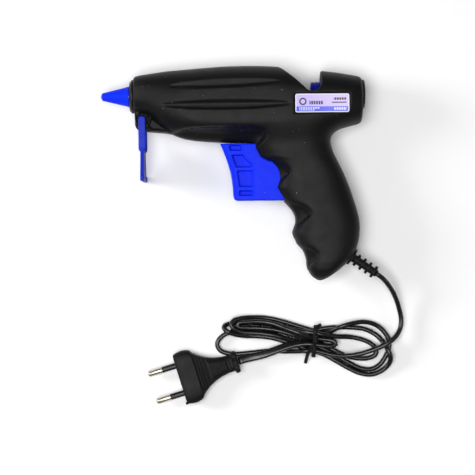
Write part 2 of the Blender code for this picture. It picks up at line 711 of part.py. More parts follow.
# The lead's route on the table from the strain relief, chosen by hand: x, y and height, in millimetres.
LEAD_KNOTS = [
    (156.3, -116.8, 22.0), (159.6, -119.3, 21.2), (162.8, -122.8, 19.4), (166.4, -128.0, 15.6), (169.3, -134.0, 11.0),
    (171.4, -140.4, 6.6), (172.5, -146.6, 3.8), (172.0, -152.4, 2.75), (168.9, -158.2, 2.65),
]
TAIL_KNOTS = [(65.7, -172.9, 6.85), (69.5, -171.8, 6.2), (74, -170.8, 4.7), (79, -170.2, 3.2), (84.5, -170.1, 2.65)]
HANK_OUTLINE = [
    (51.0, -157.5), (57.5, -148.2), (71.7, -143.1), (92, -145.5), (115, -151.8), (138, -148.6), (154, -147.4),
    (164, -153.5), (167.2, -165), (164.5, -178.5), (152, -184.2), (136, -178.5), (117, -168.8), (94, -168.4),
    (74, -166.6), (58, -164.2),
]
HANK_HEIGHT = 10.6


def cord():
    """The mains lead: its free stretches as tubes and its tied hank as one solid."""
    for name, knots in (("cord_lead", LEAD_KNOTS), ("cord_tail", TAIL_KNOTS)):
        route = smooth_route([Vector(k) * MM for k in knots], 4.5 * MM)
        put(wire(name, route, CORD_R, 2), BLACK_CORD, parent="table_level")
    put(flat("cord_hank", HANK_OUTLINE, 0, HANK_HEIGHT, cyclic_smooth=True), BLACK_CORD, parent="table_level")
    tie = boxes("cord_tie", [((114.9, -170.6, 0), (117.0, -150.0, HANK_HEIGHT + 1.5))])
    put(tie, BLACK_CORD, parent="table_level")
    cut(tie, put(boxes("tie_room", [((110, -169.3, -2), (122, -151.2, HANK_HEIGHT + 0.3))]), parent="table_level"))


def plug():
    """The flat two-pin plug: a waisted body, two pins and their insulating sleeves."""
    turn = (math.radians(90), 0, PLUG_ANGLE + math.radians(90))
    place = (*PLUG_FACE, PLUG_HALF_THICK)
    rows = [
        (0, 16.4, 6.3), (0.8, 16.9, 6.85), (11.0, 16.6, 6.85), (12.0, 15.4, 6.7), (14.3, 12.9, 6.5), (18.8, 9.7, 6.2),
        (26.9, 6.6, 5.6), (32, 5.7, 5.2), (36.6, 5.6, 5.1), (36.7, 7.25, 6.6), (39.4, 7.25, 6.6), (39.8, 6.9, 6.2),
    ]
    rings = []
    for depth, half, thick in rows:
        points = squircle(16, half * MM, thick * MM, 5)
        rings.append([(a, b, -depth * MM) for a, b in points])
    body = put(loft("plug_body", rings), BLACK_CORD, parent="table_level", place=place, turn=turn)
    pin_holes = put(rods("plug_pin_holes", [(side * 9.3, 0, 2.3, -8, 5) for side in (-1, 1)]), parent="table_level")
    pin_holes.location, pin_holes.rotation_euler = place, turn
    cut(body, pin_holes)
    for i, side in enumerate((-1, 1), 1):
        pin = turned(f"plug_pin_{i}", [(0, 19), (1.4, 19), (2.0, 17.6), (2.0, 9.7), (1.3, 9.6), (1.3, -7), (0, -7)], 14)
        sleeve = turned(f"pin_sleeve_{i}", [(1.6, 9.3), (2.0, 9.3), (2.0, -6), (1.6, -6)], 10, closed=True)
        for piece, look in ((pin, NICKEL), (sleeve, BLACK_CORD)):
            put(piece, look, parent="table_level", turn=turn)
            piece.rotation_euler = turn
            offset = Vector((math.cos(turn[2]), math.sin(turn[2]), 0))
            piece.location = Vector(place) + offset * (side * 9.3 * MM)


def main():
    new_scene()
    housing()
    hot_end()
    feed_lever()
    feed_carriage()
    trigger()
    rear_ring()
    rating_label()
    housing_screws()
    stand()
    strain_relief()
    cord_clamp()
    heater_leads()
    cord()
    plug()


main()
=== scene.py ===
"""The looks of a corded trigger glue gun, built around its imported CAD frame.

The gun frame is in millimetres: x runs back along the glue stick from the housing's front face, y is up when
the gun is held, and z points out of its left side from the middle plane. Heights of the lead and plug are
from the table.
"""

import logging
import math
from dataclasses import dataclass
from enum import Enum
from typing import Callable, Sequence

import bpy
import numpy as np
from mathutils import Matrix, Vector


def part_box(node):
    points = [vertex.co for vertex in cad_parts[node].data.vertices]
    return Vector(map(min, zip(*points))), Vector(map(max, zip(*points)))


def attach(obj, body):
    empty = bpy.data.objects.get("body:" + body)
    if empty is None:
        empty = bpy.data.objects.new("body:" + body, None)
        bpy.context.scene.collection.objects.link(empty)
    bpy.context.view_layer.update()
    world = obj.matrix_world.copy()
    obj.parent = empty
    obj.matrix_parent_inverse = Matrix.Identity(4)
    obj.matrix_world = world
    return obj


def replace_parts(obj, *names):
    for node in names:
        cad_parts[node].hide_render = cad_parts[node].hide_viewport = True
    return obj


MM = 0.001
HALF_GAP = 0.15
TOP_OF_BARREL = 18.8
TIE_REST = 0.8 * MM
DUST = (0.26, 0.26, 0.25)
LOG = logging.getLogger("glue_gun")

Array = np.ndarray
Outline = Sequence[tuple[float, float]]

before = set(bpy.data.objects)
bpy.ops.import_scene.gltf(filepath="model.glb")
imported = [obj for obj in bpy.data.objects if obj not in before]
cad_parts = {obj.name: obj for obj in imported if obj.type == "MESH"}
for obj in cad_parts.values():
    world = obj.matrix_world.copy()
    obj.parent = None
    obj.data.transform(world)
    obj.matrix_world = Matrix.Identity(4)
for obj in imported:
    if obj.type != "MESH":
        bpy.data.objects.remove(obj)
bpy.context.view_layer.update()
SHELL_LOW, SHELL_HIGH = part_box("housing_left")
GUN_ORIGIN = np.array(
    (SHELL_LOW.x / MM, SHELL_HIGH.y / MM - TOP_OF_BARREL, SHELL_LOW.z / MM - HALF_GAP)
)
TABLE_ORIGIN = GUN_ORIGIN * (1, 1, 0)


# ---- Shader nodes ----
class Term:
    """A number carried by a shader socket. Arithmetic on it adds Math nodes."""

    def __init__(self, graph: "Graph", socket: bpy.types.NodeSocket) -> None:
        """Wraps the socket of a graph."""
        self.graph = graph
        self.socket = socket

    def _with(self, operation: str, first: "Term | float", second: "Term | float") -> "Term":
        """One Math node on two values."""
        return self.graph.math(operation, first, second)

    def __add__(self, other: "Term | float") -> "Term":
        """Sum."""
        return self._with("ADD", self, other)

    def __sub__(self, other: "Term | float") -> "Term":
        """Difference."""
        return self._with("SUBTRACT", self, other)

    def __rsub__(self, other: "Term | float") -> "Term":
        """Difference from a number."""
        return self._with("SUBTRACT", other, self)

    def __mul__(self, other: "Term | float") -> "Term":
        """Product."""
        return self._with("MULTIPLY", self, other)

    def __truediv__(self, other: "Term | float") -> "Term":
        """Quotient."""
        return self._with("DIVIDE", self, other)

    def __gt__(self, other: "Term | float") -> "Term":
        """One where this is greater, else nothing."""
        return self._with("GREATER_THAN", self, other)

    def __lt__(self, other: "Term | float") -> "Term":
        """One where this is less, else nothing."""
        return self._with("LESS_THAN", self, other)

    __radd__ = __add__
    __rmul__ = __mul__


class Graph:
    """A material's node tree, with one method that adds any node."""

    def __init__(self, name: str) -> None:
        """Makes the material with its Principled shader and Object coordinates.

        Args:
            name: The material's name.
        """
        self.material = bpy.data.materials.new(name)
        self.material.use_nodes = True
        self.tree = self.material.node_tree
        self.shader = self.tree.nodes["Principled BSDF"]
        self.place = self.node("ShaderNodeTexCoord").outputs["Object"]

    def node(self, kind: str, values: dict | None = None, **settings: object) -> bpy.types.Node:
        """Adds a node.

        Args:
            kind: The node's type.
            values: Values or links by socket name or index.
            settings: The node's own settings, set before its sockets.

        Returns:
            The node.
        """
        made = self.tree.nodes.new(kind)
        for key, value in settings.items():
            if key == "stops":
                ramp = made.color_ramp
                while len(ramp.elements) < len(value):
                    ramp.elements.new(0.5)
                for element, (position, colour) in zip(ramp.elements, value):
                    element.position = position
                    element.color = (*colour, 1)
            else:
                setattr(made, key, value)
        for key, value in (values or {}).items():
            self.feed(made.inputs[key], value)
        return made

    def feed(self, socket: bpy.types.NodeSocket, value: object) -> None:
        """Links or sets one input socket.

        Args:
            socket: The input.
            value: A term or an output to link, or a plain value to set.
        """
        if isinstance(value, Term):
            value = value.socket
        if isinstance(value, bpy.types.NodeSocket):
            self.tree.links.new(value, socket)
        elif isinstance(value, tuple) and len(value) == 3 and socket.type == "RGBA":
            socket.default_value = (*value, 1)
        else:
            socket.default_value = value

    def math(self, operation: str, *values: "Term | float") -> Term:
        """One Math node on its values."""
        made = self.node("ShaderNodeMath", dict(enumerate(values)), operation=operation)
        return Term(self, made.outputs[0])

    def mix(self, share: "Term | float", first: object, second: object) -> bpy.types.NodeSocket:
        """A colour between two, by a share from 0 to 1."""
        made = self.node("ShaderNodeMix", {0: share, 6: first, 7: second}, data_type="RGBA")
        return made.outputs[2]

    def axes(self) -> tuple[Term, Term, Term]:
        """The three Object coordinates, in metres."""
        parts = self.node("ShaderNodeSeparateXYZ", {0: self.place}).outputs
        return Term(self, parts[0]), Term(self, parts[1]), Term(self, parts[2])

    def noise(self, size_mm: float, detail: float = 2.0, stretch: tuple | None = None) -> Term:
        """Noise with features of about a size in millimetres, perhaps stretched along the axes.

        Args:
            size_mm: The size.
            detail: How many finer layers are added.
            stretch: Scale along each axis, or none.

        Returns:
            The noise, about 0.5 on average.
        """
        where: object = self.place
        if stretch:
            where = self.node("ShaderNodeMapping", {"Vector": where, "Scale": stretch}).outputs[0]
        made = self.node(
            "ShaderNodeTexNoise",
            {"Vector": where, "Scale": 1 / (size_mm * MM), "Detail": detail, "Roughness": 0.55},
        )
        return Term(self, made.outputs["Fac"])

    def cells(self, size_mm: float) -> Term:
        """Distance to the nearest of scattered points, in cell sizes."""
        made = self.node("ShaderNodeTexVoronoi", {"Vector": self.place, "Scale": 1 / (size_mm * MM)})
        return Term(self, made.outputs["Distance"])

    def smooth_step(self, value: Term, low: float, high: float) -> Term:
        """A value eased from 0 at low to 1 at high.

        Args:
            value: The value.
            low: Where it gives 0.
            high: Where it gives 1.

        Returns:
            The eased value.
        """
        made = self.node(
            "ShaderNodeMapRange",
            {"Value": value, "From Min": low, "From Max": high},
            interpolation_type="SMOOTHSTEP",
        )
        return Term(self, made.outputs[0])

    def bump(self, height: Term, depth_mm: float) -> None:
        """Gives the shader a bump of about a depth in millimetres."""
        made = self.node("ShaderNodeBump", {"Height": height, "Strength": 1.0, "Distance": depth_mm * MM})
        self.feed(self.shader.inputs["Normal"], made.outputs[0])


class Surface(Enum):
    """How a finish was made."""

    SPARK = "spark-eroded mould"
    SATIN = "smooth mould"
    SHEATH = "drawn sheath"
    TURNED = "turned or drawn metal"
    CAST = "cast or fired"


@dataclass(frozen=True)
class Finish:
    """One procedural finish: its colours in linear light and its grain."""

    name: str
    slot: str
    surface: Surface
    colour: tuple[float, float, float]
    worn: tuple[float, float, float]
    roughness: float = 0.5
    metallic: float = 0.0
    specular: float = 0.5
    grain_mm: float = 0.5
    grain_depth_mm: float = 0.03
    specks: float = 0.0
    axis: int = 0

    def material(self) -> bpy.types.Material:
        """The finish as a material, made once."""
        made = bpy.data.materials.get(self.name)
        return made if made else self._build().material

    def _build(self) -> Graph:
        """Builds the node tree: colour, roughness and bump.

        Returns:
            The finished graph.
        """
        graph = Graph(self.name)
        shader = graph.shader.inputs
        shader["Metallic"].default_value = self.metallic
        shader["Specular IOR Level"].default_value = self.specular
        grain = self._grain(graph)
        broad = graph.smooth_step(graph.noise(14, 3), 0.35, 0.7)
        share = broad * 0.45 + graph.smooth_step(grain, 0.35, 0.75) * 0.4
        colour = graph.mix(share, self.colour, self.worn)
        if self.specks:
            dust = graph.smooth_step(graph.noise(1.2, 0), 0.86 - 0.02 * self.specks, 0.9)
            colour = graph.mix(dust * 0.4, colour, DUST)
        graph.feed(shader["Base Color"], colour)
        smear = graph.noise(6, 4)
        graph.feed(shader["Roughness"], smear * 0.16 + grain * 0.08 + (self.roughness - 0.12))
        graph.bump(grain, self.grain_depth_mm)
        return graph

    def _grain(self, graph: Graph) -> Term:
        """The fine relief that the way of making leaves.

        Args:
            graph: The finish's node tree.

        Returns:
            A height from 0 to 1.
        """
        if self.surface is Surface.SPARK:
            pits = graph.smooth_step(graph.cells(self.grain_mm), 0.1, 0.75)
            return graph.noise(self.grain_mm * 0.9, 3) * 0.6 + pits * 0.4
        if self.surface is Surface.SATIN:
            flow = graph.noise(22, 2, (1.0, 0.35, 1.0))
            return graph.noise(self.grain_mm, 3) * 0.5 + flow * 0.5
        if self.surface is Surface.SHEATH:
            return graph.noise(3.0, 2) * 0.55 + graph.noise(self.grain_mm, 2) * 0.45
        if self.surface is Surface.TURNED:
            stretch = [0.12, 0.12, 0.12]
            stretch[self.axis] = 1.0
            return graph.noise(self.grain_mm, 4, tuple(stretch))
        lumps = graph.smooth_step(graph.cells(self.grain_mm * 2), 0.0, 0.8)
        return graph.noise(self.grain_mm, 4) * 0.6 + lumps * 0.4


SHELL_BLACK = Finish(
    "shell_moulding", "shell_black", Surface.SPARK, (0.0021, 0.0021, 0.0022), (0.0042, 0.0042, 0.0044),
    roughness=0.52, specular=0.18, grain_mm=0.55, grain_depth_mm=0.05, specks=1.0,
)
RING_BLACK = Finish(
    "ring_black", "shell_black", Surface.SATIN, (0.007, 0.007, 0.008), (0.014, 0.014, 0.015),
    roughness=0.36, specular=0.2, grain_mm=0.4, grain_depth_mm=0.012,
)
BLUE = Finish(
    "signal_blue", "blue_plastic", Surface.SATIN, (0.003, 0.021, 0.78), (0.005, 0.032, 0.90),
    roughness=0.46, specular=0.07, grain_mm=0.5, grain_depth_mm=0.012, specks=0.35,
)
# A darker copy of the trigger's blue plastic for the feed carriage: painted shade for its place deep in the
# notch.
BLUE_PAINTED_SHADE = Finish(
    "carriage_blue_painted_shade", "blue_plastic", Surface.SATIN, (0.002, 0.008, 0.22), (0.003, 0.012, 0.30),
    roughness=0.5, specular=0.1, grain_mm=0.5, grain_depth_mm=0.012,
)
NAVY = Finish(
    "stand_blue", "navy_plastic", Surface.SATIN, (0.006, 0.020, 0.40), (0.010, 0.034, 0.52),
    roughness=0.5, specular=0.14, grain_mm=0.45, grain_depth_mm=0.02, specks=0.8,
)
SHEATH = Finish(
    "lead_sheath", "cord_black", Surface.SHEATH, (0.005, 0.005, 0.0055), (0.011, 0.011, 0.012),
    roughness=0.27, specular=0.4, grain_mm=0.35, grain_depth_mm=0.02,
)
PLUG_BLACK = Finish(
    "plug_black", "cord_black", Surface.SPARK, (0.005, 0.005, 0.0053), (0.009, 0.009, 0.0095),
    roughness=0.5, specular=0.14, grain_mm=0.4, grain_depth_mm=0.03,
)
NICKEL = Finish(
    "pin_nickel", "nickel", Surface.TURNED, (0.60, 0.55, 0.46), (0.42, 0.38, 0.30),
    roughness=0.30, metallic=1.0, grain_mm=0.3, grain_depth_mm=0.02,
)
BRASS = Finish(
    "nozzle_brass", "brass", Surface.TURNED, (0.66, 0.47, 0.20), (0.40, 0.27, 0.12),
    roughness=0.32, metallic=1.0, grain_mm=0.25, grain_depth_mm=0.015,
)
ZINC = Finish(
    "zinc_steel", "steel", Surface.TURNED, (0.52, 0.53, 0.55), (0.34, 0.34, 0.36),
    roughness=0.34, metallic=1.0, grain_mm=0.3, grain_depth_mm=0.02, axis=2,
)
CASTING = Finish(
    "chamber_casting", "aluminium", Surface.CAST, (0.56, 0.56, 0.57), (0.36, 0.35, 0.34),
    roughness=0.5, metallic=1.0, grain_mm=0.8, grain_depth_mm=0.06,
)
CERAMIC = Finish(
    "heater_ceramic", "ceramic", Surface.CAST, (0.70, 0.68, 0.63), (0.55, 0.52, 0.47),
    roughness=0.7, grain_mm=0.5, grain_depth_mm=0.03,
)
SILICONE = Finish(
    "sleeve_silicone", "silicone", Surface.SATIN, (0.50, 0.10, 0.055), (0.40, 0.075, 0.045),
    roughness=0.6, grain_mm=0.6, grain_depth_mm=0.02,
)
WIRE_WHITE = Finish(
    "glass_sleeving", "wire_white", Surface.SHEATH, (0.72, 0.70, 0.65), (0.60, 0.57, 0.52),
    roughness=0.5, grain_mm=0.4, grain_depth_mm=0.02,
)


# ---- Meshes ----
def piece_from(
    name: str, points: Array, faces: Sequence, finish: Finish | None = None
) -> bpy.types.Object:
    """A mesh object at the origin from points in metres.

    Args:
        name: The piece's name.
        points: Points, one row each.
        faces: Corner numbers of each face.
        finish: Its finish, if it has one of the shared ones.

    Returns:
        The linked object.
    """
    mesh = bpy.data.meshes.new(name)
    mesh.from_pydata([tuple(map(float, p)) for p in points], [], [tuple(map(int, f)) for f in faces])
    mesh.update()
    mesh.shade_smooth()
    made = bpy.data.objects.new(name, mesh)
    bpy.context.scene.collection.objects.link(made)
    if finish:
        dress(made, finish)
    return made


def dress(piece: bpy.types.Object, finish: Finish) -> None:
    """Gives a piece one finish.

    Args:
        piece: The piece or CAD node.
        finish: Its finish.
    """
    piece.data.materials.clear()
    piece.data.materials.append(finish.material())


def joined(parts: Sequence[tuple[Array, list]]) -> tuple[Array, list]:
    """Several point-and-face pairs as one.

    Args:
        parts: The pairs.

    Returns:
        All points, and all faces with their corner numbers moved on.
    """
    points, faces, start = [], [], 0
    for some, corners in parts:
        points.append(np.asarray(some, float))
        faces += [tuple(c + start for c in face) for face in corners]
        start += len(some)
    return np.concatenate(points), faces


def keep_edges(piece: bpy.types.Object, degrees: float = 35) -> bpy.types.Object:
    """Marks edges sharper than an angle, so smooth shading stops at them."""
    piece.data.set_sharp_from_angle(angle=math.radians(degrees))
    return piece


def smooth_rows(rows: Sequence[tuple[float, ...]], at: Array, column: int = 1) -> Array:
    """A cubic through a table's rows.

    Args:
        rows: Rows that begin with the position, in rising order.
        at: Positions to read at.
        column: The column to read.

    Returns:
        The values, held at the ends.
    """
    table = np.array(rows, float)
    x, y = table[:, 0], table[:, column]
    slope = np.gradient(y, x)
    at = np.clip(at, x[0], x[-1])
    i = np.clip(np.searchsorted(x, at) - 1, 0, len(x) - 2)
    h = x[i + 1] - x[i]
    t = (at - x[i]) / h
    return (
        y[i] * (1 + 2 * t) * (1 - t) ** 2
        + slope[i] * h * t * (1 - t) ** 2
        + y[i + 1] * t * t * (3 - 2 * t)
        + slope[i + 1] * h * t * t * (t - 1)
    )


def ease(value: Array, low: float, high: float) -> Array:
    """0 below low, 1 above high, smooth between."""
    t = np.clip((value - low) / (high - low), 0, 1)
    return t * t * (3 - 2 * t)


def meet(a: Array, b: Array | float, round_mm: float = 0.0) -> Array:
    """What two fields share, its edge rounded.

    Args:
        a: The first field.
        b: The second field, or one level.
        round_mm: The radius of the edge between them.

    Returns:
        The field, negative inside.
    """
    if not round_mm:
        return np.maximum(a, b)
    h = np.maximum(round_mm - np.abs(a - b), 0) / round_mm
    return np.maximum(a, b) + h * h * round_mm / 4


def join(a: Array, b: Array | float, round_mm: float = 0.0) -> Array:
    """Both fields together, their corner filleted."""
    return -meet(-a, -b, round_mm)


def less(a: Array, b: Array, round_mm: float = 0.0) -> Array:
    """The first field with the second taken out of it."""
    return meet(a, -b, round_mm)


def polygon_field(outline: Outline, x: Array, y: Array) -> Array:
    """Signed distance to a closed outline, negative inside.

    Args:
        outline: Its corners in order.
        x: First coordinate.
        y: Second coordinate.

    Returns:
        The distance.
    """
    best = np.full(np.broadcast(x, y).shape, 1e9)
    inside = np.zeros(best.shape, bool)
    for (ax, ay), (bx, by) in zip(outline, [*outline[1:], outline[0]]):
        ex, ey = bx - ax, by - ay
        t = np.clip(((x - ax) * ex + (y - ay) * ey) / (ex * ex + ey * ey), 0, 1)
        best = np.minimum(best, (x - ax - t * ex) ** 2 + (y - ay - t * ey) ** 2)
        if ey:
            inside ^= ((ay > y) != (by > y)) & (x < ax + (y - ay) * ex / ey)
    return np.where(inside, -1, 1) * np.sqrt(best)


def oval_field(a: Array, b: Array, half_a: Array, half_b: Array, power: float) -> Array:
    """About the signed distance to a superellipse of the two half sizes.

    Args:
        a: Offset along the first half size.
        b: Offset along the second.
        half_a: First half size.
        half_b: Second half size.
        power: 2 for an ellipse, more for squarer corners.

    Returns:
        The field, negative inside.
    """
    u, v = np.abs(a) / half_a, np.abs(b) / half_b
    s = np.maximum((u**power + v**power) ** (1 / power), 1e-4)
    steep = np.sqrt((u ** (power - 1) / half_a) ** 2 + (v ** (power - 1) / half_b) ** 2) * s ** (1 - power)
    return (s - 1) / np.maximum(steep, 0.6 / np.maximum(half_a, half_b))


def box_field(at: Sequence[Array], low: Sequence[float], high: Sequence[float]) -> Array:
    """A box's field, negative inside."""
    sides = [np.maximum(a - v, v0 - a) for a, v0, v in zip(at, low, high)]
    return np.maximum(np.maximum(sides[0], sides[1]), sides[2])


@dataclass(frozen=True)
class Block:
    """A grid of points over a box, in millimetres."""

    low: tuple[float, float, float]
    high: tuple[float, float, float]
    step: float

    def axes(self) -> tuple[Array, Array, Array]:
        """The three coordinates, shaped to broadcast."""
        lines = [np.arange(a, b + self.step, self.step) for a, b in zip(self.low, self.high)]
        return lines[0][:, None, None], lines[1][None, :, None], lines[2][None, None, :]

    def mesh(self, values: Array) -> tuple[Array, list]:
        """The closed surface where a field on the grid changes sign.

        Args:
            values: The field, negative inside.

        Returns:
            Points in millimetres and four-cornered faces, facing outwards.
        """
        inside = values < 0
        spans = [slice(0, -1), slice(1, None)]
        corners = [(i, j, k) for i in (0, 1) for j in (0, 1) for k in (0, 1)]
        count = sum(inside[spans[i], spans[j], spans[k]].astype(np.int8) for i, j, k in corners)
        mixed = (count > 0) & (count < 8)
        number = np.full(mixed.shape, -1)
        number[mixed] = np.arange(mixed.sum())
        cells = np.argwhere(mixed)
        total, met = np.zeros((len(cells), 3)), np.zeros(len(cells))
        for a in corners:
            for axis in range(3):
                if a[axis]:
                    continue
                b = tuple(c + (n == axis) for n, c in enumerate(a))
                first, second = values[tuple((cells + a).T)], values[tuple((cells + b).T)]
                crossing = (first < 0) != (second < 0)
                share = first[crossing] / (first[crossing] - second[crossing])
                total[crossing] += np.array(a) + (np.array(b) - a) * share[:, None]
                met[crossing] += 1
        points = np.array(self.low) + self.step * (cells + total / met[:, None])
        faces = []
        for axis in range(3):
            along = [slice(1, -1)] * 3
            along[axis] = slice(0, -1)
            after = list(along)
            after[axis] = slice(1, None)
            here, there = inside[tuple(along)], inside[tuple(after)]
            second, third = (axis + 1) % 3, (axis + 2) % 3
            for low_inside in (True, False):
                edges = np.argwhere((here == low_inside) & (there != low_inside))
                edges[:, second] += 1
                edges[:, third] += 1
                ring = []
                for back in ((1, 1), (0, 1), (0, 0), (1, 0)):
                    cell = edges.copy()
                    cell[:, second] -= back[0]
                    cell[:, third] -= back[1]
                    ring.append(number[tuple(cell.T)])
                faces.append(np.stack(ring if low_inside else ring[::-1], axis=1))
        return points, np.concatenate(faces).tolist()


def around(count: int) -> Array:
    """Evenly spaced angles of one full turn."""
    return np.arange(count) * 2 * math.pi / count


def lathe(
    profile: Outline, sides: int, turn: Callable[[Array], Array], closed: bool = False
) -> tuple[Array, list]:
    """A turned shape.

    Args:
        profile: (distance along, radius) rows. An open profile starts and ends on the axis.
        sides: Faces round it.
        turn: Carries (along, across, across) rows to their place.
        closed: Whether the last row joins the first, as in a ring.

    Returns:
        Points and faces, facing outwards.
    """
    angles = around(sides)
    rings, points = [], []
    for along, radius in profile:
        start = len(points)
        if radius < 1e-6:
            points.append((along, 0, 0))
            rings.append([start] * sides)
        else:
            points += [(along, radius * math.cos(a), radius * math.sin(a)) for a in angles]
            rings.append(list(range(start, start + sides)))
    pairs = list(zip(rings, rings[1:])) + ([(rings[-1], rings[0])] if closed else [])
    faces = []
    for first, second in pairs:
        for i in range(sides):
            j = (i + 1) % sides
            face = list(dict.fromkeys((first[i], first[j], second[j], second[i])))
            if len(face) > 2:
                faces.append(tuple(face))
    placed = turn(np.array(points, float))
    first, second, third = (placed[[face[n] for face in faces]] for n in range(3))
    middle = (first + second + third) / 3
    volume = np.einsum("ij,ij->i", middle, np.cross(second - first, third - first)).sum()
    return placed, faces if volume > 0 else [f[::-1] for f in faces]


def rounded(profile: Outline, radius: float, steps: int = 3) -> list[tuple[float, float]]:
    """A profile whose inner corners are rounded off by up to a radius.

    Args:
        profile: Its points in order.
        radius: The largest reach of a corner's curve.
        steps: Pieces in each curve.

    Returns:
        The points, with the first and last kept.
    """
    made = [profile[0]]
    for before, here, after in zip(profile, profile[1:], profile[2:]):
        b, h, a = Vector(before), Vector(here), Vector(after)
        reach = min(radius, (b - h).length * 0.45, (a - h).length * 0.45)
        first, last = h + (b - h).normalized() * reach, h + (a - h).normalized() * reach
        for i in range(steps + 1):
            t = i / steps
            made.append(tuple(first * (1 - t) ** 2 + h * (2 * t * (1 - t)) + last * (t * t)))
    return [*made, profile[-1]]


def ring_profile(profile: Outline, radius: float) -> list[tuple[float, float]]:
    """A ring's closed profile with every corner rounded off, begun in the middle of its last side."""
    start = tuple((Vector(profile[0]) + Vector(profile[-1])) / 2)
    return rounded([start, *profile, start], radius)[:-1]


def in_gun(points: Array) -> Array:
    """Carries points of the gun frame in millimetres to their place in metres."""
    return (points + GUN_ORIGIN) * MM


def on_table(points: Array) -> Array:
    """Carries points whose heights are from the table to their place in metres."""
    return (points + TABLE_ORIGIN) * MM


def smooth_route(knots: Sequence[tuple[float, ...]], spacing: float) -> Array:
    """Evenly spaced points along a centripetal curve through knots.

    Args:
        knots: Points that the curve passes through.
        spacing: The distance between points.

    Returns:
        The points, one row each.
    """
    k = np.array(knots, float)
    k = np.vstack([2 * k[0] - k[1], k, 2 * k[-1] - k[-2]])
    fine = []
    for p0, p1, p2, p3 in zip(k, k[1:], k[2:], k[3:]):
        t0 = 0.0
        t1 = max(np.linalg.norm(p1 - p0), 1e-6) ** 0.5
        t2 = t1 + max(np.linalg.norm(p2 - p1), 1e-6) ** 0.5
        t3 = t2 + max(np.linalg.norm(p3 - p2), 1e-6) ** 0.5
        t = np.linspace(t1, t2, 24, endpoint=False)[:, None]
        a1 = (t1 - t) / (t1 - t0) * p0 + (t - t0) / (t1 - t0) * p1
        a2 = (t2 - t) / (t2 - t1) * p1 + (t - t1) / (t2 - t1) * p2
        a3 = (t3 - t) / (t3 - t2) * p2 + (t - t2) / (t3 - t2) * p3
        b1 = (t2 - t) / (t2 - t0) * a1 + (t - t0) / (t2 - t0) * a2
        b2 = (t3 - t) / (t3 - t1) * a2 + (t - t1) / (t3 - t1) * a3
        fine.append((t2 - t) / (t2 - t1) * b1 + (t - t1) / (t2 - t1) * b2)
    fine = np.vstack([*fine, k[-2:-1]])
    gone = np.concatenate([[0], np.cumsum(np.linalg.norm(np.diff(fine, axis=0), axis=1))])
    at = np.linspace(0, gone[-1], max(2, round(gone[-1] / spacing) + 1))
    return np.stack([np.interp(at, gone, fine[:, n]) for n in range(3)], axis=1)


def sweep(route: Array, section: Array, roll: Array, ups: Array | None = None) -> tuple[Array, list]:
    """A section carried along a route, with closed ends.

    Args:
        route: Points of the route.
        section: Points of the section: across, then up.
        roll: How far the section is rolled at each point, in radians.
        ups: An up direction for each point, or none for the world's.

    Returns:
        Points and faces, facing outwards.
    """
    tangent = np.gradient(route, axis=0)
    tangent /= np.linalg.norm(tangent, axis=1)[:, None]
    up = np.tile([0.0, 0.0, 1.0], (len(route), 1)) if ups is None else ups
    up = up - tangent * np.einsum("ij,ij->i", up, tangent)[:, None]
    up /= np.maximum(np.linalg.norm(up, axis=1), 1e-9)[:, None]
    side = np.cross(tangent, up)
    c, s = np.cos(roll)[:, None], np.sin(roll)[:, None]
    across, upward = side * c + up * s, up * c - side * s
    points = (
        route[:, None, :]
        + across[:, None, :] * section[None, :, 0, None]
        + upward[:, None, :] * section[None, :, 1, None]
    ).reshape(-1, 3)
    n, faces = len(section), []
    for i in range(len(route) - 1):
        for j in range(n):
            k = (j + 1) % n
            faces.append((i * n + j, (i + 1) * n + j, (i + 1) * n + k, i * n + k))
    faces += [tuple(range(n)), tuple(reversed(range(len(points) - n, len(points))))]
    first = points[list(faces[0])]
    outward = np.cross(first[1] - first[0], first[2] - first[0]) @ (first[:2].mean(0) - route[:2].mean(0))
    return points, faces if outward > 0 else [f[::-1] for f in faces]


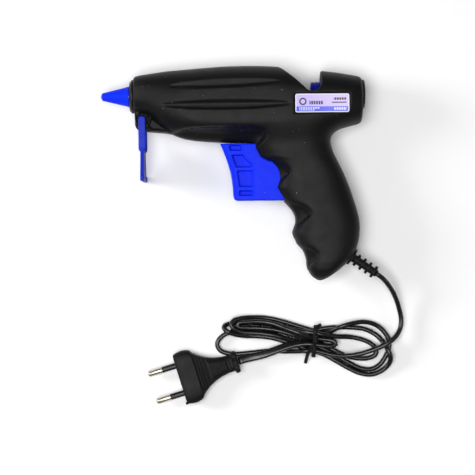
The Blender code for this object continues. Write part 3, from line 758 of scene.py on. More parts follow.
# ---- Geometry Nodes ----
class Pattern:
    """A Geometry Nodes tree with named inputs, ending in real geometry with one material."""

    def __init__(self, name: str, inputs: dict[str, tuple[str, object]]) -> None:
        """Makes the tree.

        Args:
            name: The tree's name.
            inputs: Each input's name, with its socket type and the value to use.
        """
        self.tree = bpy.data.node_groups.new(name, "GeometryNodeTree")
        face = self.tree.interface
        face.new_socket("Geometry", in_out="OUTPUT", socket_type="NodeSocketGeometry")
        face.new_socket("Geometry", in_out="INPUT", socket_type="NodeSocketGeometry")
        self.values = {}
        for label, (kind, value) in inputs.items():
            socket = face.new_socket(label, in_out="INPUT", socket_type=kind)
            self.values[socket.identifier] = value
        self.source = self.tree.nodes.new("NodeGroupInput").outputs

    def node(self, kind: str, values: dict | None = None, **settings: object) -> bpy.types.Node:
        """Adds a node with its settings, then its values or links.

        Args:
            kind: The node's type.
            values: Values or links by socket name or index.
            settings: The node's own settings.

        Returns:
            The node.
        """
        made = self.tree.nodes.new(kind)
        for key, value in settings.items():
            setattr(made, key, value)
        for key, value in (values or {}).items():
            if isinstance(value, bpy.types.NodeSocket):
                self.tree.links.new(value, made.inputs[key])
            else:
                made.inputs[key].default_value = value
        return made

    def finish(self, geometry: bpy.types.NodeSocket, finish: Finish) -> None:
        """Ends the tree: real geometry, one material, then the output.

        Args:
            geometry: The geometry so far.
            finish: The finish of all of it.
        """
        real = self.node("GeometryNodeRealizeInstances", {0: geometry})
        dressed = self.node(
            "GeometryNodeSetMaterial", {"Geometry": real.outputs[0], "Material": finish.material()}
        )
        self.node("NodeGroupOutput", {0: dressed.outputs[0]})

    def bake(self, name: str, seeds: Array, turns: Array | None = None) -> bpy.types.Object:
        """Runs the tree on seed points and keeps the plain mesh.

        Args:
            name: The piece's name.
            seeds: Points in metres, at which the tree puts its shapes.
            turns: Euler angles at each seed, kept as the attribute "turn".

        Returns:
            The piece, with no modifier left.
        """
        mesh = bpy.data.meshes.new(name)
        mesh.from_pydata([tuple(p) for p in seeds], [], [])
        angles = np.zeros((len(seeds), 3)) if turns is None else turns
        attribute = mesh.attributes.new("turn", "FLOAT_VECTOR", "POINT")
        attribute.data.foreach_set("vector", np.asarray(angles, np.float32).ravel())
        holder = bpy.data.objects.new(f"{name}_seeds", mesh)
        bpy.context.scene.collection.objects.link(holder)
        modifier = holder.modifiers.new("pattern", "NODES")
        modifier.node_group = self.tree
        for identifier, value in self.values.items():
            modifier[identifier] = value
        graph = bpy.context.evaluated_depsgraph_get()
        made = bpy.data.meshes.new_from_object(holder.evaluated_get(graph))
        holder.modifiers.remove(modifier)
        bpy.data.objects.remove(holder)
        made.name = name
        piece = bpy.data.objects.new(name, made)
        bpy.context.scene.collection.objects.link(piece)
        return keep_edges(piece)


def copies_of(
    name: str, shape: tuple[Array, list], seeds: Array, turns: Array, finish: Finish
) -> bpy.types.Object:
    """One shape set at each seed by a Geometry Nodes tree.

    Args:
        name: The piece's name.
        shape: Points in metres and faces of the shape, about its own origin.
        seeds: Where each copy goes, in metres.
        turns: Euler angles of each copy.
        finish: The finish of all the copies.

    Returns:
        The piece.
    """
    template = piece_from(f"{name}_one", *shape)
    inputs = {"Shape": ("NodeSocketObject", template), "Size": ("NodeSocketFloat", 1.0)}
    pattern = Pattern(f"{name}_pattern", inputs)
    one = pattern.node("GeometryNodeObjectInfo", {"Object": pattern.source["Shape"]})
    turn = pattern.node("GeometryNodeInputNamedAttribute", {"Name": "turn"}, data_type="FLOAT_VECTOR")
    rotation = pattern.node("FunctionNodeEulerToRotation", {0: turn.outputs["Attribute"]})
    size = pattern.node("ShaderNodeCombineXYZ", {n: pattern.source["Size"] for n in range(3)})
    points = pattern.node("GeometryNodeMeshToPoints", {"Mesh": pattern.source["Geometry"]})
    placed = pattern.node(
        "GeometryNodeInstanceOnPoints",
        {
            "Points": points.outputs[0],
            "Instance": one.outputs["Geometry"],
            "Rotation": rotation.outputs[0],
            "Scale": size.outputs[0],
        },
    )
    pattern.finish(placed.outputs[0], finish)
    made = pattern.bake(name, seeds, turns)
    bpy.data.objects.remove(template)
    return made


# ---- Camera and stage ----
@dataclass(frozen=True)
class Studio:
    """The camera straight above the table, a pale floor and soft lights."""

    aim: tuple[float, float] = (2.02, -41.38)
    height: float = 1200.0
    roll_deg: float = -0.675
    view_width: float = 313.4
    sensor: float = 36.0
    floor_half: float = 4.0
    paper: tuple = ((0.93, 0.93, 0.93), (0.955, 0.955, 0.955))
    fill: float = 0.12
    # Each soft panel: its name, its place and side in metres, and its power.
    panels: tuple = (
        ("overhead", (-0.18, -0.12, 1.6), 0.75, 21),
        ("left", (-1.3, 0.25, 0.75), 0.5, 11),
        ("right", (1.6, -0.3, 1.1), 0.8, 3),
    )

    def camera(self) -> None:
        """Makes the camera and takes it as the scene's."""
        data = bpy.data.cameras.new("camera")
        data.sensor_width = self.sensor
        data.lens = self.sensor * self.height / self.view_width
        data.clip_start, data.clip_end = 0.01, 20
        camera = bpy.data.objects.new("camera", data)
        camera.location = (self.aim[0] * MM, self.aim[1] * MM, self.height * MM)
        camera.rotation_euler = (0, 0, math.radians(self.roll_deg))
        bpy.context.scene.collection.objects.link(camera)
        bpy.context.scene.camera = camera

    def floor(self) -> None:
        """A pale matt sheet under everything."""
        half = self.floor_half
        corners = np.array([(-half, -half, 0), (half, -half, 0), (half, half, 0), (-half, half, 0)])
        floor = piece_from("floor", corners, [(0, 1, 2, 3)])
        graph = Graph("floor_paper")
        paper = graph.mix(graph.noise(40, 2), *self.paper)
        graph.feed(graph.shader.inputs["Base Color"], paper)
        graph.shader.inputs["Roughness"].default_value = 0.95
        graph.shader.inputs["Specular IOR Level"].default_value = 0.0
        floor.data.materials.append(graph.material)

    def lights(self) -> None:
        """Soft square panels overhead and at the sides, and an even fill."""
        world = bpy.data.worlds.new("studio")
        world.use_nodes = True
        background = world.node_tree.nodes["Background"].inputs
        background["Color"].default_value = (1, 1, 1, 1)
        background["Strength"].default_value = self.fill
        bpy.context.scene.world = world
        for name, place, size, power in self.panels:
            data = bpy.data.lights.new(name, "AREA")
            data.shape, data.size, data.energy = "SQUARE", size, power
            light = bpy.data.objects.new(name, data)
            light.location = place
            light.rotation_euler = (-Vector(place)).to_track_quat("-Z", "Y").to_euler()
            bpy.context.scene.collection.objects.link(light)

    def build(self) -> None:
        """Makes all of it."""
        self.camera()
        self.floor()
        self.lights()
        bpy.context.scene.view_settings.view_transform = "Standard"


# ---- Mains lead ----
@dataclass
class MainsLead:
    """The flat twin lead, its hank and the tie round it. Knots are x, y and height in millimetres."""

    width: float = 5.3
    thickness: float = 3.3
    length: float = 1.015
    spacing: float = 2.0
    # The lead rolls flat between these shares of its length, before the plug.
    flat_from: float = 0.925
    flat_to: float = 0.99
    flat_deg: float = 80.0
    tie_at: tuple[float, float, float] = (116.0, -159.8, 0.0)
    tie_half: tuple[float, float] = (1.3, 0.5)
    tie_steps: int = 48
    twist_steps: int = 12
    # Points of each free end of the tie, from its twist on.
    tie_ends: tuple = (
        ((0.2, 5.6, -1.0), (1.4, 7.8, -2.4), (3.6, 9.0, -4.6)),
        ((-2.2, -4.4, 0.2), (-5.2, -9.8, -3.4), (-6.8, -16.4, -9.2)),
    )
    # From the strain relief down, then through the tie to each end of the hank in turn, then to the plug.
    knots: tuple = (
        (155.0, -115.9, 22.0), (156.3, -116.8, 22.0), (159.6, -119.3, 21.2), (162.8, -122.8, 19.4),
        (166.4, -128.0, 16.0), (169.3, -134.0, 12.2), (171.4, -140.4, 9.2), (172.6, -146.6, 7.8),
        (172.0, -152.4, 7.9), (168.7, -158.0, 9.4), (162.5, -162.7, 10.4), (153.9, -166.5, 9.2),
        (143.9, -169.4, 8.2), (136.0, -170.3, 8.0), (126.8, -169.5, 8.0), (120.0, -167.6, 8.0),
        (115.0, -166.6, 8.0), (109.0, -166.8, 7.6), (103.0, -167.1, 5.2), (97.0, -167.2, 3.2),
        (85.0, -166.8, 2.65), (72.0, -168.0, 2.65), (60.5, -168.4, 2.65), (53.5, -165.8, 2.65),
        (51.8, -161.6, 2.65), (54.6, -157.2, 2.65), (61.0, -154.0, 2.65), (68.0, -153.0, 2.65),
        (85.0, -153.2, 2.65), (100.0, -155.0, 2.65), (110.0, -156.6, 2.65), (116.0, -157.2, 2.65),
        (121.0, -155.8, 2.8), (127.0, -153.8, 4.8), (133.0, -151.2, 7.6), (141.0, -149.0, 7.0),
        (149.0, -148.3, 4.6), (156.5, -150.6, 2.9), (162.2, -155.6, 2.65), (165.0, -161.6, 2.65),
        (164.6, -166.6, 2.65), (162.0, -172.0, 2.65), (158.6, -176.6, 2.65), (153.0, -179.5, 2.65),
        (146.0, -178.9, 2.65), (138.5, -175.3, 2.65), (130.0, -170.3, 2.65), (122.5, -166.2, 2.65),
        (116.0, -164.0, 2.65), (110.0, -162.6, 2.9), (104.0, -160.6, 4.4), (96.0, -158.2, 7.2),
        (90.0, -156.5, 7.95), (80.0, -154.9, 7.95), (70.0, -154.2, 8.2), (64.5, -152.6, 8.8),
        (61.2, -149.6, 9.4), (62.2, -146.7, 8.6), (67.0, -145.0, 6.4), (75.0, -144.5, 3.9),
        (85.0, -145.1, 2.65), (95.0, -147.4, 2.65), (104.0, -150.3, 2.65), (110.0, -152.2, 2.65),
        (116.0, -153.6, 2.65), (121.0, -152.5, 2.65), (127.0, -151.8, 2.65), (133.0, -151.7, 2.65),
        (141.0, -152.0, 2.65), (149.0, -153.2, 2.65), (156.0, -156.8, 2.8), (160.6, -161.3, 3.8),
        (163.3, -165.8, 6.9), (165.3, -170.4, 7.2), (165.2, -175.0, 4.4), (160.8, -180.0, 2.65),
        (153.4, -183.0, 2.65), (145.6, -182.1, 2.65), (137.5, -178.4, 2.65), (129.0, -173.4, 2.65),
        (122.0, -169.6, 2.65), (116.0, -167.4, 2.65), (110.0, -165.6, 2.65), (104.0, -163.4, 2.65),
        (96.0, -160.6, 2.65), (88.0, -158.2, 2.65), (78.0, -157.0, 2.65), (69.0, -156.6, 3.8),
        (62.5, -155.0, 7.4), (57.8, -153.0, 8.2), (56.4, -150.6, 6.8), (58.6, -148.9, 4.8),
        (64.0, -148.1, 3.2), (73.0, -148.1, 2.65), (85.0, -148.9, 2.65), (95.0, -150.9, 3.4),
        (104.0, -153.1, 6.0), (110.0, -154.3, 7.7), (116.0, -155.1, 7.95), (121.0, -156.1, 7.95),
        (126.0, -157.0, 6.8), (132.0, -157.8, 4.4), (139.0, -158.2, 2.9), (146.0, -159.6, 2.65),
        (152.4, -162.4, 2.65), (156.4, -166.4, 2.65), (155.6, -170.2, 2.65), (151.0, -172.2, 2.65),
        (144.0, -172.3, 2.65), (136.0, -170.3, 2.65), (129.0, -167.0, 2.65), (122.5, -163.2, 2.65),
        (116.0, -160.6, 2.65), (110.0, -158.9, 5.0), (104.0, -157.0, 7.4), (98.0, -155.0, 7.95),
        (90.0, -152.8, 7.95), (80.0, -151.5, 7.95), (71.0, -151.2, 8.2), (66.2, -150.6, 8.6),
        (65.0, -149.2, 8.8), (66.6, -147.7, 8.8), (72.0, -147.3, 8.4), (80.0, -147.2, 7.95),
        (88.0, -148.4, 8.2), (95.0, -151.0, 9.0), (100.0, -152.8, 10.0), (106.0, -155.0, 10.4),
        (111.0, -157.0, 9.2), (116.0, -158.5, 8.2), (121.0, -159.2, 7.95), (126.0, -159.9, 7.95),
        (129.2, -161.0, 8.2), (129.5, -162.6, 8.6), (126.6, -163.7, 9.0), (121.0, -163.1, 9.2),
        (116.0, -162.2, 9.2), (110.0, -161.6, 9.0), (105.0, -162.0, 8.8), (100.0, -162.9, 8.5),
        (94.0, -164.7, 8.1), (88.0, -166.9, 7.5), (82.0, -169.0, 6.7), (76.0, -170.4, 6.2),
        (70.5, -171.6, 6.4), (65.7, -172.9, 6.85),
    )

    def route(self) -> Array:
        """The centreline, its lowest strands on the table.

        Returns:
            Points in metres.
        """
        points = smooth_route(self.knots, self.spacing)
        points[:, 2] = np.maximum(points[:, 2], self.width / 2 + 0.05)
        return on_table(points)

    def section(self) -> Array:
        """A flat twin section, waisted between its two cores.

        Returns:
            Points in metres: across, then up.
        """
        radius, offset = self.thickness / 2, (self.width - self.thickness) / 2
        points = []
        for a in around(20):
            up = math.sin(a)
            across = math.cos(a) * radius * (1 - 0.10 * (1 - abs(up)) ** 2)
            points.append((across, up * radius + math.copysign(offset, up) * min(1, abs(up) * 3)))
        return np.array(points) * MM

    def build(self) -> tuple[bpy.types.Object, Array]:
        """The lead as a tube along its route.

        Returns:
            The piece and its centreline in metres.
        """
        route = self.route()
        share = np.linspace(0, 1, len(route))
        roll = ease(share, self.flat_from, self.flat_to) * math.radians(self.flat_deg)
        points, faces = sweep(route, self.section(), roll)
        lead = piece_from("mains_lead", points, faces, SHEATH)
        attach(lead, "gun")
        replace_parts(lead, "cord_lead", "cord_hank", "cord_tail")
        return lead, route

    def tie(self, route: Array) -> bpy.types.Object:
        """The twisted wire tie round the hank's middle, with its two ends.

        Args:
            route: The lead's centreline in metres.

        Returns:
            The piece.
        """
        at = on_table(np.array(self.tie_at))
        close = route[np.abs(route[:, 0] - at[0]) < 4 * MM]
        low, high = close[:, 1].min() - 0.0026, close[:, 1].max() + 0.0026
        top = close[:, 2].max() + 0.0034
        middle = (low + high) / 2
        wide, thick = self.tie_half
        flat = np.array([(math.cos(a) * wide, math.sin(a) * thick) for a in around(10)]) * MM
        loop = self._loop(at, low, high, top)
        outward = loop - np.array((at[0], middle, top / 2))
        parts = [sweep(loop, flat, np.zeros(len(loop)), outward)]
        knot = np.array((at[0] + 0.0004, middle + 0.002, top + 0.0006))
        for forward, points in zip((True, False), self.tie_ends):
            end = self._end(points, knot, forward)
            parts.append(sweep(end, flat * 0.85, np.zeros(len(end))))
        tie = piece_from("wire_tie", *joined(parts), PLUG_BLACK)
        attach(tie, "gun")
        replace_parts(tie, "cord_tie")
        return tie

    def _loop(self, at: Array, low: float, high: float, top: float) -> Array:
        """The tie's loop, a leaning rounded box round the strands.

        Args:
            at: The place on the table below the tie, in metres.
            low: The loop's near side.
            high: Its far side.
            top: Its height.

        Returns:
            Points in metres.
        """
        loop = []
        for i in range(self.tie_steps + 1):
            share = i / self.tie_steps
            a = 2 * math.pi * i / self.tie_steps
            c, s = math.cos(a), math.sin(a)
            y = (low + high) / 2 + (high - low) / 2 * math.copysign(abs(c) ** 0.45, c)
            z = top / 2 + (top / 2 - TIE_REST) * math.copysign(abs(s) ** 0.55, s)
            lean = (y - at[1]) * 0.10 + 0.0012 * (share - 0.5)
            loop.append((at[0] + lean, y, max(z, TIE_REST)))
        return np.array(loop)

    def _end(self, points: tuple, knot: Array, forward: bool) -> Array:
        """One free end: its turns in the twist, then its way down.

        Args:
            points: The way down, in millimetres from the knot.
            knot: The twist's place in metres.
            forward: Whether it leaves by the twist's far end.

        Returns:
            Points in metres.
        """
        twist = []
        for i in range(self.twist_steps + 1):
            share = i / self.twist_steps
            a = share * 3 * math.pi + (0 if forward else math.pi)
            twist.append((0.9 * math.cos(a), -2.4 + 4.4 * i / self.twist_steps, 0.7 + 0.9 * math.sin(a)))
        down = [(x, y, z + 1.2) for x, y, z in points]
        end = smooth_route([*(twist if forward else twist[::-1]), *down], 0.8) * MM + knot
        end[:, 2] = np.maximum(end[:, 2], TIE_REST)
        return end


# ---- Plug ----
@dataclass
class Plug:
    """The flat two-pin plug. Depths run back from its face, in millimetres."""

    step: float = 0.36
    face: tuple[float, float, float] = (27.2, -184.5, 6.85)
    heading_deg: float = 196.8
    pin_spread: float = 9.3
    body_end: float = 36.0
    grooves: int = 4
    groove_first: float = 12.9
    groove_pitch: float = 2.05
    flange_at: float = 38.2
    flange_half: tuple[float, float] = (7.3, 7.25)
    # Low and high corners, as depth, across and up.
    slot: tuple = ((32.2, -3.0, 4.4), (34.2, 3.0, 9))
    nib: tuple[float, float] = (-16.2, 3.2)
    stud_rows: int = 11
    stud_first: float = 21.4
    stud_row_pitch: float = 0.92
    stud_pitch: float = 0.62
    stud_radius: float = 0.42
    stud_height: float = 0.5
    # Each row: depth, half width and half thickness.
    rows: tuple = (
        (0, 16.2, 6.2), (0.5, 16.7, 6.7), (1.2, 16.9, 6.85), (10.4, 16.7, 6.85), (11.4, 16.2, 6.8),
        (12.2, 14.9, 6.7), (14.3, 12.7, 6.55), (16.5, 11.1, 6.4), (18.8, 9.7, 6.2), (22.6, 7.9, 5.9),
        (26.9, 6.6, 5.6), (32, 5.7, 5.2), (36.0, 5.5, 5.1),
    )
    # Each row: depth and radius.
    pin_rows: tuple = (
        (7, 0), (7, 1.3), (-9.6, 1.3), (-9.7, 2.0), (-17.9, 2.0), (-18.5, 1.75), (-18.9, 1.2), (-19, 0),
    )

    def put(self, points: Array) -> Array:
        """Carries points to the plug's place.

        Args:
            points: (back, across, up) rows in millimetres.

        Returns:
            The points in metres.
        """
        turn = math.radians(self.heading_deg)
        back = np.array((-math.cos(turn), -math.sin(turn)))
        across = np.array((math.sin(turn), -math.cos(turn)))
        flat = points[:, :1] * back + points[:, 1:2] * across
        return on_table(np.column_stack([flat, points[:, 2]]) + np.array(self.face))

    def size_at(self, depth: float) -> tuple[float, float]:
        """Half the body's width and thickness at a depth."""
        at = np.array([depth])
        return float(smooth_rows(self.rows, at, 1)[0]), float(smooth_rows(self.rows, at, 2)[0])

    def body(self) -> bpy.types.Object:
        """The moulded body with its grooves, slot and end flange.

        Returns:
            The piece.
        """
        block = Block((-1, -19, -8), (42, 19, 8), self.step)
        s, v, w = block.axes()
        depth = np.clip(s, 0, self.body_end)
        half = smooth_rows(self.rows, depth, 1)
        thick = smooth_rows(self.rows, depth, 2)
        shape = oval_field(v, w, half + 0 * w, thick + 0 * v, 5.0)
        shape = meet(meet(shape, -s, 1.0), s - (self.body_end + 0.6), 0.6)
        # A flat top face stands between bevelled long edges.
        shape = meet(shape, (np.abs(v) - half) * 0.62 + (np.abs(w) - thick) * 0.78 + 1.5, 0.5)
        wide, tall = self.flange_half
        waist = tall - 1.5 * np.exp(-((v / 3.2) ** 2))
        flange = oval_field(v, w, wide + 0 * w, waist + 0 * w, 3.2)
        shape = join(shape, meet(flange, np.abs(s - self.flange_at) - 1.6, 1.0), 0.8)
        for i in range(self.grooves):
            middle = self.groove_first + self.groove_pitch * i
            reach = self.size_at(middle)[0] - 1.4
            groove = box_field((s, v, np.abs(w)), (middle - 0.5, -reach, 5.2), (middle + 0.5, reach, 9))
            shape = less(shape, groove, 0.5)
        shape = less(shape, box_field((s, v, w), *self.slot), 0.5)
        for side in (-1, 1):
            well = np.hypot(v - side * self.pin_spread, w) - 2.35
            shape = less(shape, meet(well, s - 6.5), 0.3)
        nib_v, nib_w = self.nib
        shape = join(shape, meet(np.hypot(v - nib_v, w - nib_w) - 0.9, np.abs(s + 0.1) - 0.7, 0.3), 0.4)
        points, faces = block.mesh(shape)
        return piece_from("plug_shell", self.put(points), faces, PLUG_BLACK)

    def knurl(self) -> bpy.types.Object:
        """The fine studs behind the grooves, top and bottom, every other row set over by half a stud.

        Returns:
            The piece.
        """
        seeds, turns = [], []
        for row in range(self.stud_rows):
            depth = self.stud_first + self.stud_row_pitch * row
            half, thick = self.size_at(depth)
            half -= 1.6
            count = int(half / self.stud_pitch)
            for i in range(-count, count + 1):
                across = (i + 0.5 * (row % 2)) * self.stud_pitch
                if abs(across) > half:
                    continue
                for side in (-1, 1):
                    seeds.append((depth, across, side * (thick - 0.12)))
                    turns.append((0 if side > 0 else math.pi, 0, math.radians(self.heading_deg)))
        r, h = self.stud_radius, self.stud_height
        stud = np.array([(-r, 0, 0), (0, -r, 0), (r, 0, 0), (0, r, 0), (0, 0, h)]) * MM
        faces = [(0, 1, 4), (1, 2, 4), (2, 3, 4), (3, 0, 4), (3, 2, 1, 0)]
        return copies_of("plug_knurl", (stud, faces), self.put(np.array(seeds)), np.array(turns), PLUG_BLACK)

    def pin(self, number: int, side: int) -> bpy.types.Object:
        """One round pin with its domed end and its thinner neck.

        Args:
            number: The pin's number, 1 or 2.
            side: Which side of the plug's middle it stands on, -1 or 1.

        Returns:
            The piece.
        """
        across = side * self.pin_spread

        def carry(points: Array) -> Array:
            """Moves the pin beside the plug's middle line."""
            return self.put(points + (0, across, 0))

        pin = keep_edges(piece_from(f"plug_pin_round_{number}", *lathe(self.pin_rows, 32, carry), NICKEL))
        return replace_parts(pin, f"plug_pin_{number if self._same_side(across, number) else 3 - number}")

    def _same_side(self, across: float, number: int) -> bool:
        """Whether the frame's pin of a number lies on the side of a pin made here.

        Args:
            across: The pin's distance from the plug's middle line.
            number: The number in the frame.

        Returns:
            True where the frame's box holds the pin's middle.
        """
        low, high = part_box(f"plug_pin_{number}")
        here = self.put(np.array([(-14.0, across, 0.0)]))[0]
        return all(low[n] - MM < here[n] < high[n] + MM for n in (0, 1))

    def build(self) -> list[bpy.types.Object]:
        """The plug's new pieces, and its sleeves dressed.

        Returns:
            The body, its studs, both pins and both sleeves.
        """
        body = self.body()
        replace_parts(body, "plug_body")
        knurl = self.knurl()
        pins = [self.pin(i, side) for i, side in ((1, -1), (2, 1))]
        for piece in (body, knurl, *pins):
            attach(piece, "gun")
        sleeves = [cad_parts[f"pin_sleeve_{i}"] for i in (1, 2)]
        for sleeve in sleeves:
            dress(sleeve, RING_BLACK)
        return [body, knurl, *pins, *sleeves]


# ---- Housing ----
@dataclass
class Housing:
    """The two moulded shells, as fields of the distance to their surface."""

    step: float = 0.72
    wall: float = 2.2
    flat_side: float = 22.0
    barrel_power: float = 2.6
    handle_power: float = 3.0
    screws: tuple = ((17.5, -15.5), (58, -24), (80, 13.6), (86, -24.2), (138, -14.5), (137, -72), (118, -109))
    post_radius: float = 4.2
    screw_hole: float = 1.75
    head_hole: float = 3.0
    # Boxes are given by their low and high corners.
    front_plates: tuple = (((13.0, -40, -30), (14.6, 30, 30)), ((55.5, -40, -30), (57.1, 30, 30)))
    lead_gap: tuple = ((50, -20.5, -12.5), (60, -9, 12.5))
    rear_plate: tuple = ((88.0, -15, -30), (89.6, 30, 30))
    slide_floor: tuple = ((104, -37.4, -30), (121, -35.8, 30))
    slide_ribs: tuple = (((98, -70.4, -30), (122, -68.7, 30)), ((124.2, -63, -30), (126.2, -51, 30)))
    wire_way: tuple = ((100, -75, -40), (112, -30, 40))
    mouth: tuple = ((50, -68.55, -7.9), (102, -31.0, 7.9))
    # Bores on the stick's axis: radius, from and to.
    bores: tuple = ((7.4, -10, 5), (7.9, 142, 160), (8.4, 99, 124.5))
    lever_pivot: tuple[float, float] = (115.8, -23.0)
    stand_pivot: tuple[float, float] = (5.5, -15.4)
    label_at: tuple[float, float, float] = (121, -6.9, 20.4)
    label_half: tuple[float, float] = (17.7, 6.4)
    label_tilt_deg: float = 2.6
    # Each flute: its tips, their heights, its lower and upper edge, its depth and its lip.
    flutes: tuple = (
        ((23.4, 95.2), (4.9, 7.2), 3.9, 10.2, 1.9, 0.30),
        ((18.4, 100.8), (-6.8, -6.6), -10.0, -3.2, 1.9, 0.6),
    )
    # Each finger scoop: the ends of its crease, its width and its depth.
    scoops: tuple = (
        ((90.4, -60.3), (101.6, -50.2), 14.0, 4.2),
        ((101.4, -88.8), (114.8, -77.4), 20.0, 4.4),
        ((111.6, -112.6), (119.0, -103.4), 15.0, 3.8),
    )
    # The upper edge of the hollow under the barrel, and where the hollow ends at the rear.
    belly: tuple = (
        (22, -25.2), (26, -23.6), (31, -22.0), (37, -21.0), (50, -20.4), (68, -20.3), (78, -20.7),
        (83, -21.7), (86, -23.2), (87.6, -25.6), (88.5, -29),
    )
    belly_end: float = 87.6
    # Barrel rows: distance back, top, bottom and half width.
    barrel: tuple = (
        (-2, 12.2, -11.0, 12.6), (0, 12.6, -11.2, 13.5), (2.8, 13.3, -11.4, 14.8), (8, 14.1, -12.6, 16.8),
        (13, 14.8, -15.8, 18.2), (21, 15.9, -22.6, 20.2), (28.7, 16.5, -26.6, 21.5),
        (36.5, 17.1, -28.6, 22.6), (46, 17.8, -29.7, 23.1), (57, 18.5, -30.4, 23.2),
        (75, 18.8, -30.8, 23.2), (86, 18.5, -30.8, 23.1), (94, 18.0, -30.7, 22.8), (104, 17.2, -30.2, 22.3),
        (120, 15.2, -27.4, 21.9), (127, 14.4, -25.2, 21.6), (134, 13.4, -22.3, 21.2),
        (140, 12.3, -20.6, 20.2), (145, 11.3, -19.3, 18.2), (149, 10.0, -17.4, 16.6),
    )
    # Handle edges, from the butt up: height and place. Corners part the front's runs.
    handle_front: tuple = (
        (
            (-121, 118.5), (-119.9, 117.2), (-118.6, 115.2), (-117.5, 114), (-114.8, 112.1),
            (-112.2, 110.8), (-109.6, 110.4), (-107, 110.3), (-104.4, 109.6), (-101.8, 108.7),
            (-99.2, 106.8), (-96.6, 104.5), (-94, 103.3), (-91.4, 102), (-88.8, 101.4),
        ),
        (
            (-88.8, 101.4), (-86.2, 102.3), (-83.6, 103.3), (-81, 103.6), (-78.4, 103.1), (-75.8, 101.9),
            (-73.2, 100), (-70.6, 97.7), (-68, 95.2), (-65.7, 93.9), (-62.7, 92), (-60.1, 90.6),
        ),
        (
            (-60.1, 90.6), (-57.5, 91.4), (-53.7, 92.1), (-50.4, 91.8), (-47.2, 90.5), (-44.5, 88.3),
            (-42.2, 85.0), (-41.2, 81.9), (-38, 79.2), (-33, 77.2), (-26, 78.5), (-14, 86),
        ),
    )
    handle_back: tuple = (
        (-121, 120.5), (-119.9, 121.4), (-118.8, 123.6), (-117.6, 125.7), (-114.4, 130.3), (-110.6, 134.8),
        (-107.4, 138.1), (-103.5, 140.8), (-99.6, 142.8), (-93.2, 144.6), (-88, 145.1), (-82.8, 145.0),
        (-74.4, 143.3), (-65.9, 140.7), (-58.1, 138.0), (-49.6, 134.4), (-42.5, 131), (-36.6, 128.3),
        (-30, 126.6), (-22, 126), (-14, 124),
    )
    handle_half: tuple = (
        (-121, 3.0), (-119.9, 5.2), (-118.5, 9.3), (-115, 13.6), (-110, 15.4), (-104.4, 16.0),
        (-96.6, 16.2), (-88.8, 16.0), (-75, 15.6), (-60, 15.3), (-50, 15.5), (-43, 16.0), (-33, 17.2),
        (-26, 17.6), (-14, 17.0),
    )
    notch: tuple = (
        (94.2, 40), (94.2, 17.8), (96.4, 15.9), (103.5, 9.8), (109.2, 4.4), (111.8, 1.8), (113.4, 0.9),
        (115.8, 0.9), (118.3, 2.0), (120.3, 4.2), (120.9, 7.2), (120.9, 12), (120.9, 40),
    )
    lug: tuple = (
        (0.6, -8.8), (1.0, -19.0), (1.8, -21.2), (3.4, -22.0), (10.1, -22.8), (19.8, -23.7), (24.4, -24.4),
        (23.2, -20.6), (18.4, -18.6), (12.4, -13.6), (7.4, -9.6),
    )

    def outside(self, x: Array, y: Array, z: Array) -> Array:
        """The whole outer shape, before its openings.

        Args:
            x: Distance back.
            y: Height.
            z: Distance out of the left side.

        Returns:
            The field, negative inside.
        """
        deep = np.abs(z)
        top, bottom, half = (smooth_rows(self.barrel, x, column) for column in (1, 2, 3))
        tall = (top - bottom) / 2 + 0 * y
        barrel = oval_field(y - (top + bottom) / 2, deep, tall, half + 0 * y, self.barrel_power)
        barrel = meet(barrel, deep - self.flat_side, 1.0)
        barrel = meet(meet(barrel, -x, 1.6), x - 147.3, 2.2)
        front = self._front(y)
        back = smooth_rows(self.handle_back, y, 1)
        thick = smooth_rows(self.handle_half, y, 1)
        wide = (back - front) / 2 + 0 * x
        handle = oval_field(x - (front + back) / 2, deep, wide, thick + 0 * x, self.handle_power)
        handle = meet(meet(handle, y + 14.0), -120.2 - y, 1.2)
        return join(barrel, handle, 7.0) + self.hollows(x, y, deep)

    def _front(self, y: Array) -> Array:
        """The handle's front edge, with its corners kept sharp.

        Args:
            y: Height.

        Returns:
            The edge's distance back.
        """
        value = np.zeros_like(y)
        last = len(self.handle_front) - 1
        for i, run in enumerate(self.handle_front):
            low = run[0][0] if i else -math.inf
            high = run[-1][0] if i < last else math.inf
            value = np.where((y >= low) & (y < high), smooth_rows(run, y, 1), value)
        return value

    def hollows(self, x: Array, y: Array, deep: Array) -> Array:
        """How far the surface is pressed in by its flutes, its belly and its finger scoops.

        Args:
            x: Distance back.
            y: Height.
            deep: Distance from the middle plane.

        Returns:
            The depth in millimetres.
        """
        side = ease(deep, 7.0, 12.0)
        pressed = sum(self._flute(x, y, *flute) * side for flute in self.flutes)
        pressed = pressed + self._belly(x, y) * ease(deep, 5.0, 12.0)
        for scoop in self.scoops:
            pressed = pressed + self._scoop(x, y, *scoop) * ease(deep, 7.6, 12.4)
        return pressed

    @staticmethod
    def _flute(
        x: Array, y: Array, tips: tuple, ends: tuple, low: float, high: float, depth: float, lip: float
    ) -> Array:
        """A leaf-shaped flute.

        Args:
            x: Distance back.
            y: Height.
            tips: Where the leaf starts and ends.
            ends: The height of each tip.
            low: Its lower edge at the middle.
            high: Its upper edge at the middle.
            depth: How deep it is just above its lower edge.
            lip: How quickly it gets deep under its upper edge, from 0 to 1.

        Returns:
            The depth.
        """
        share = np.clip((x - tips[0]) / (tips[1] - tips[0]), 0, 1)
        middle = ends[0] + (ends[1] - ends[0]) * share
        swell = np.sin(math.pi * share) ** 0.42 * (share > 0) * (share < 1)
        lower = middle - (np.mean(ends) - low) * swell
        upper = middle + (high - np.mean(ends)) * swell
        across = np.clip((upper - y) / np.maximum(upper - lower, 0.05), 0, 1.2)
        roll_in = ease(across, 0.0, 0.95 - lip * 0.7)
        crisp = ease(y - lower, -0.15, 0.75)
        return depth * swell * roll_in * crisp * (1 - 0.35 * lip * ease(across, 0.35, 1.0))

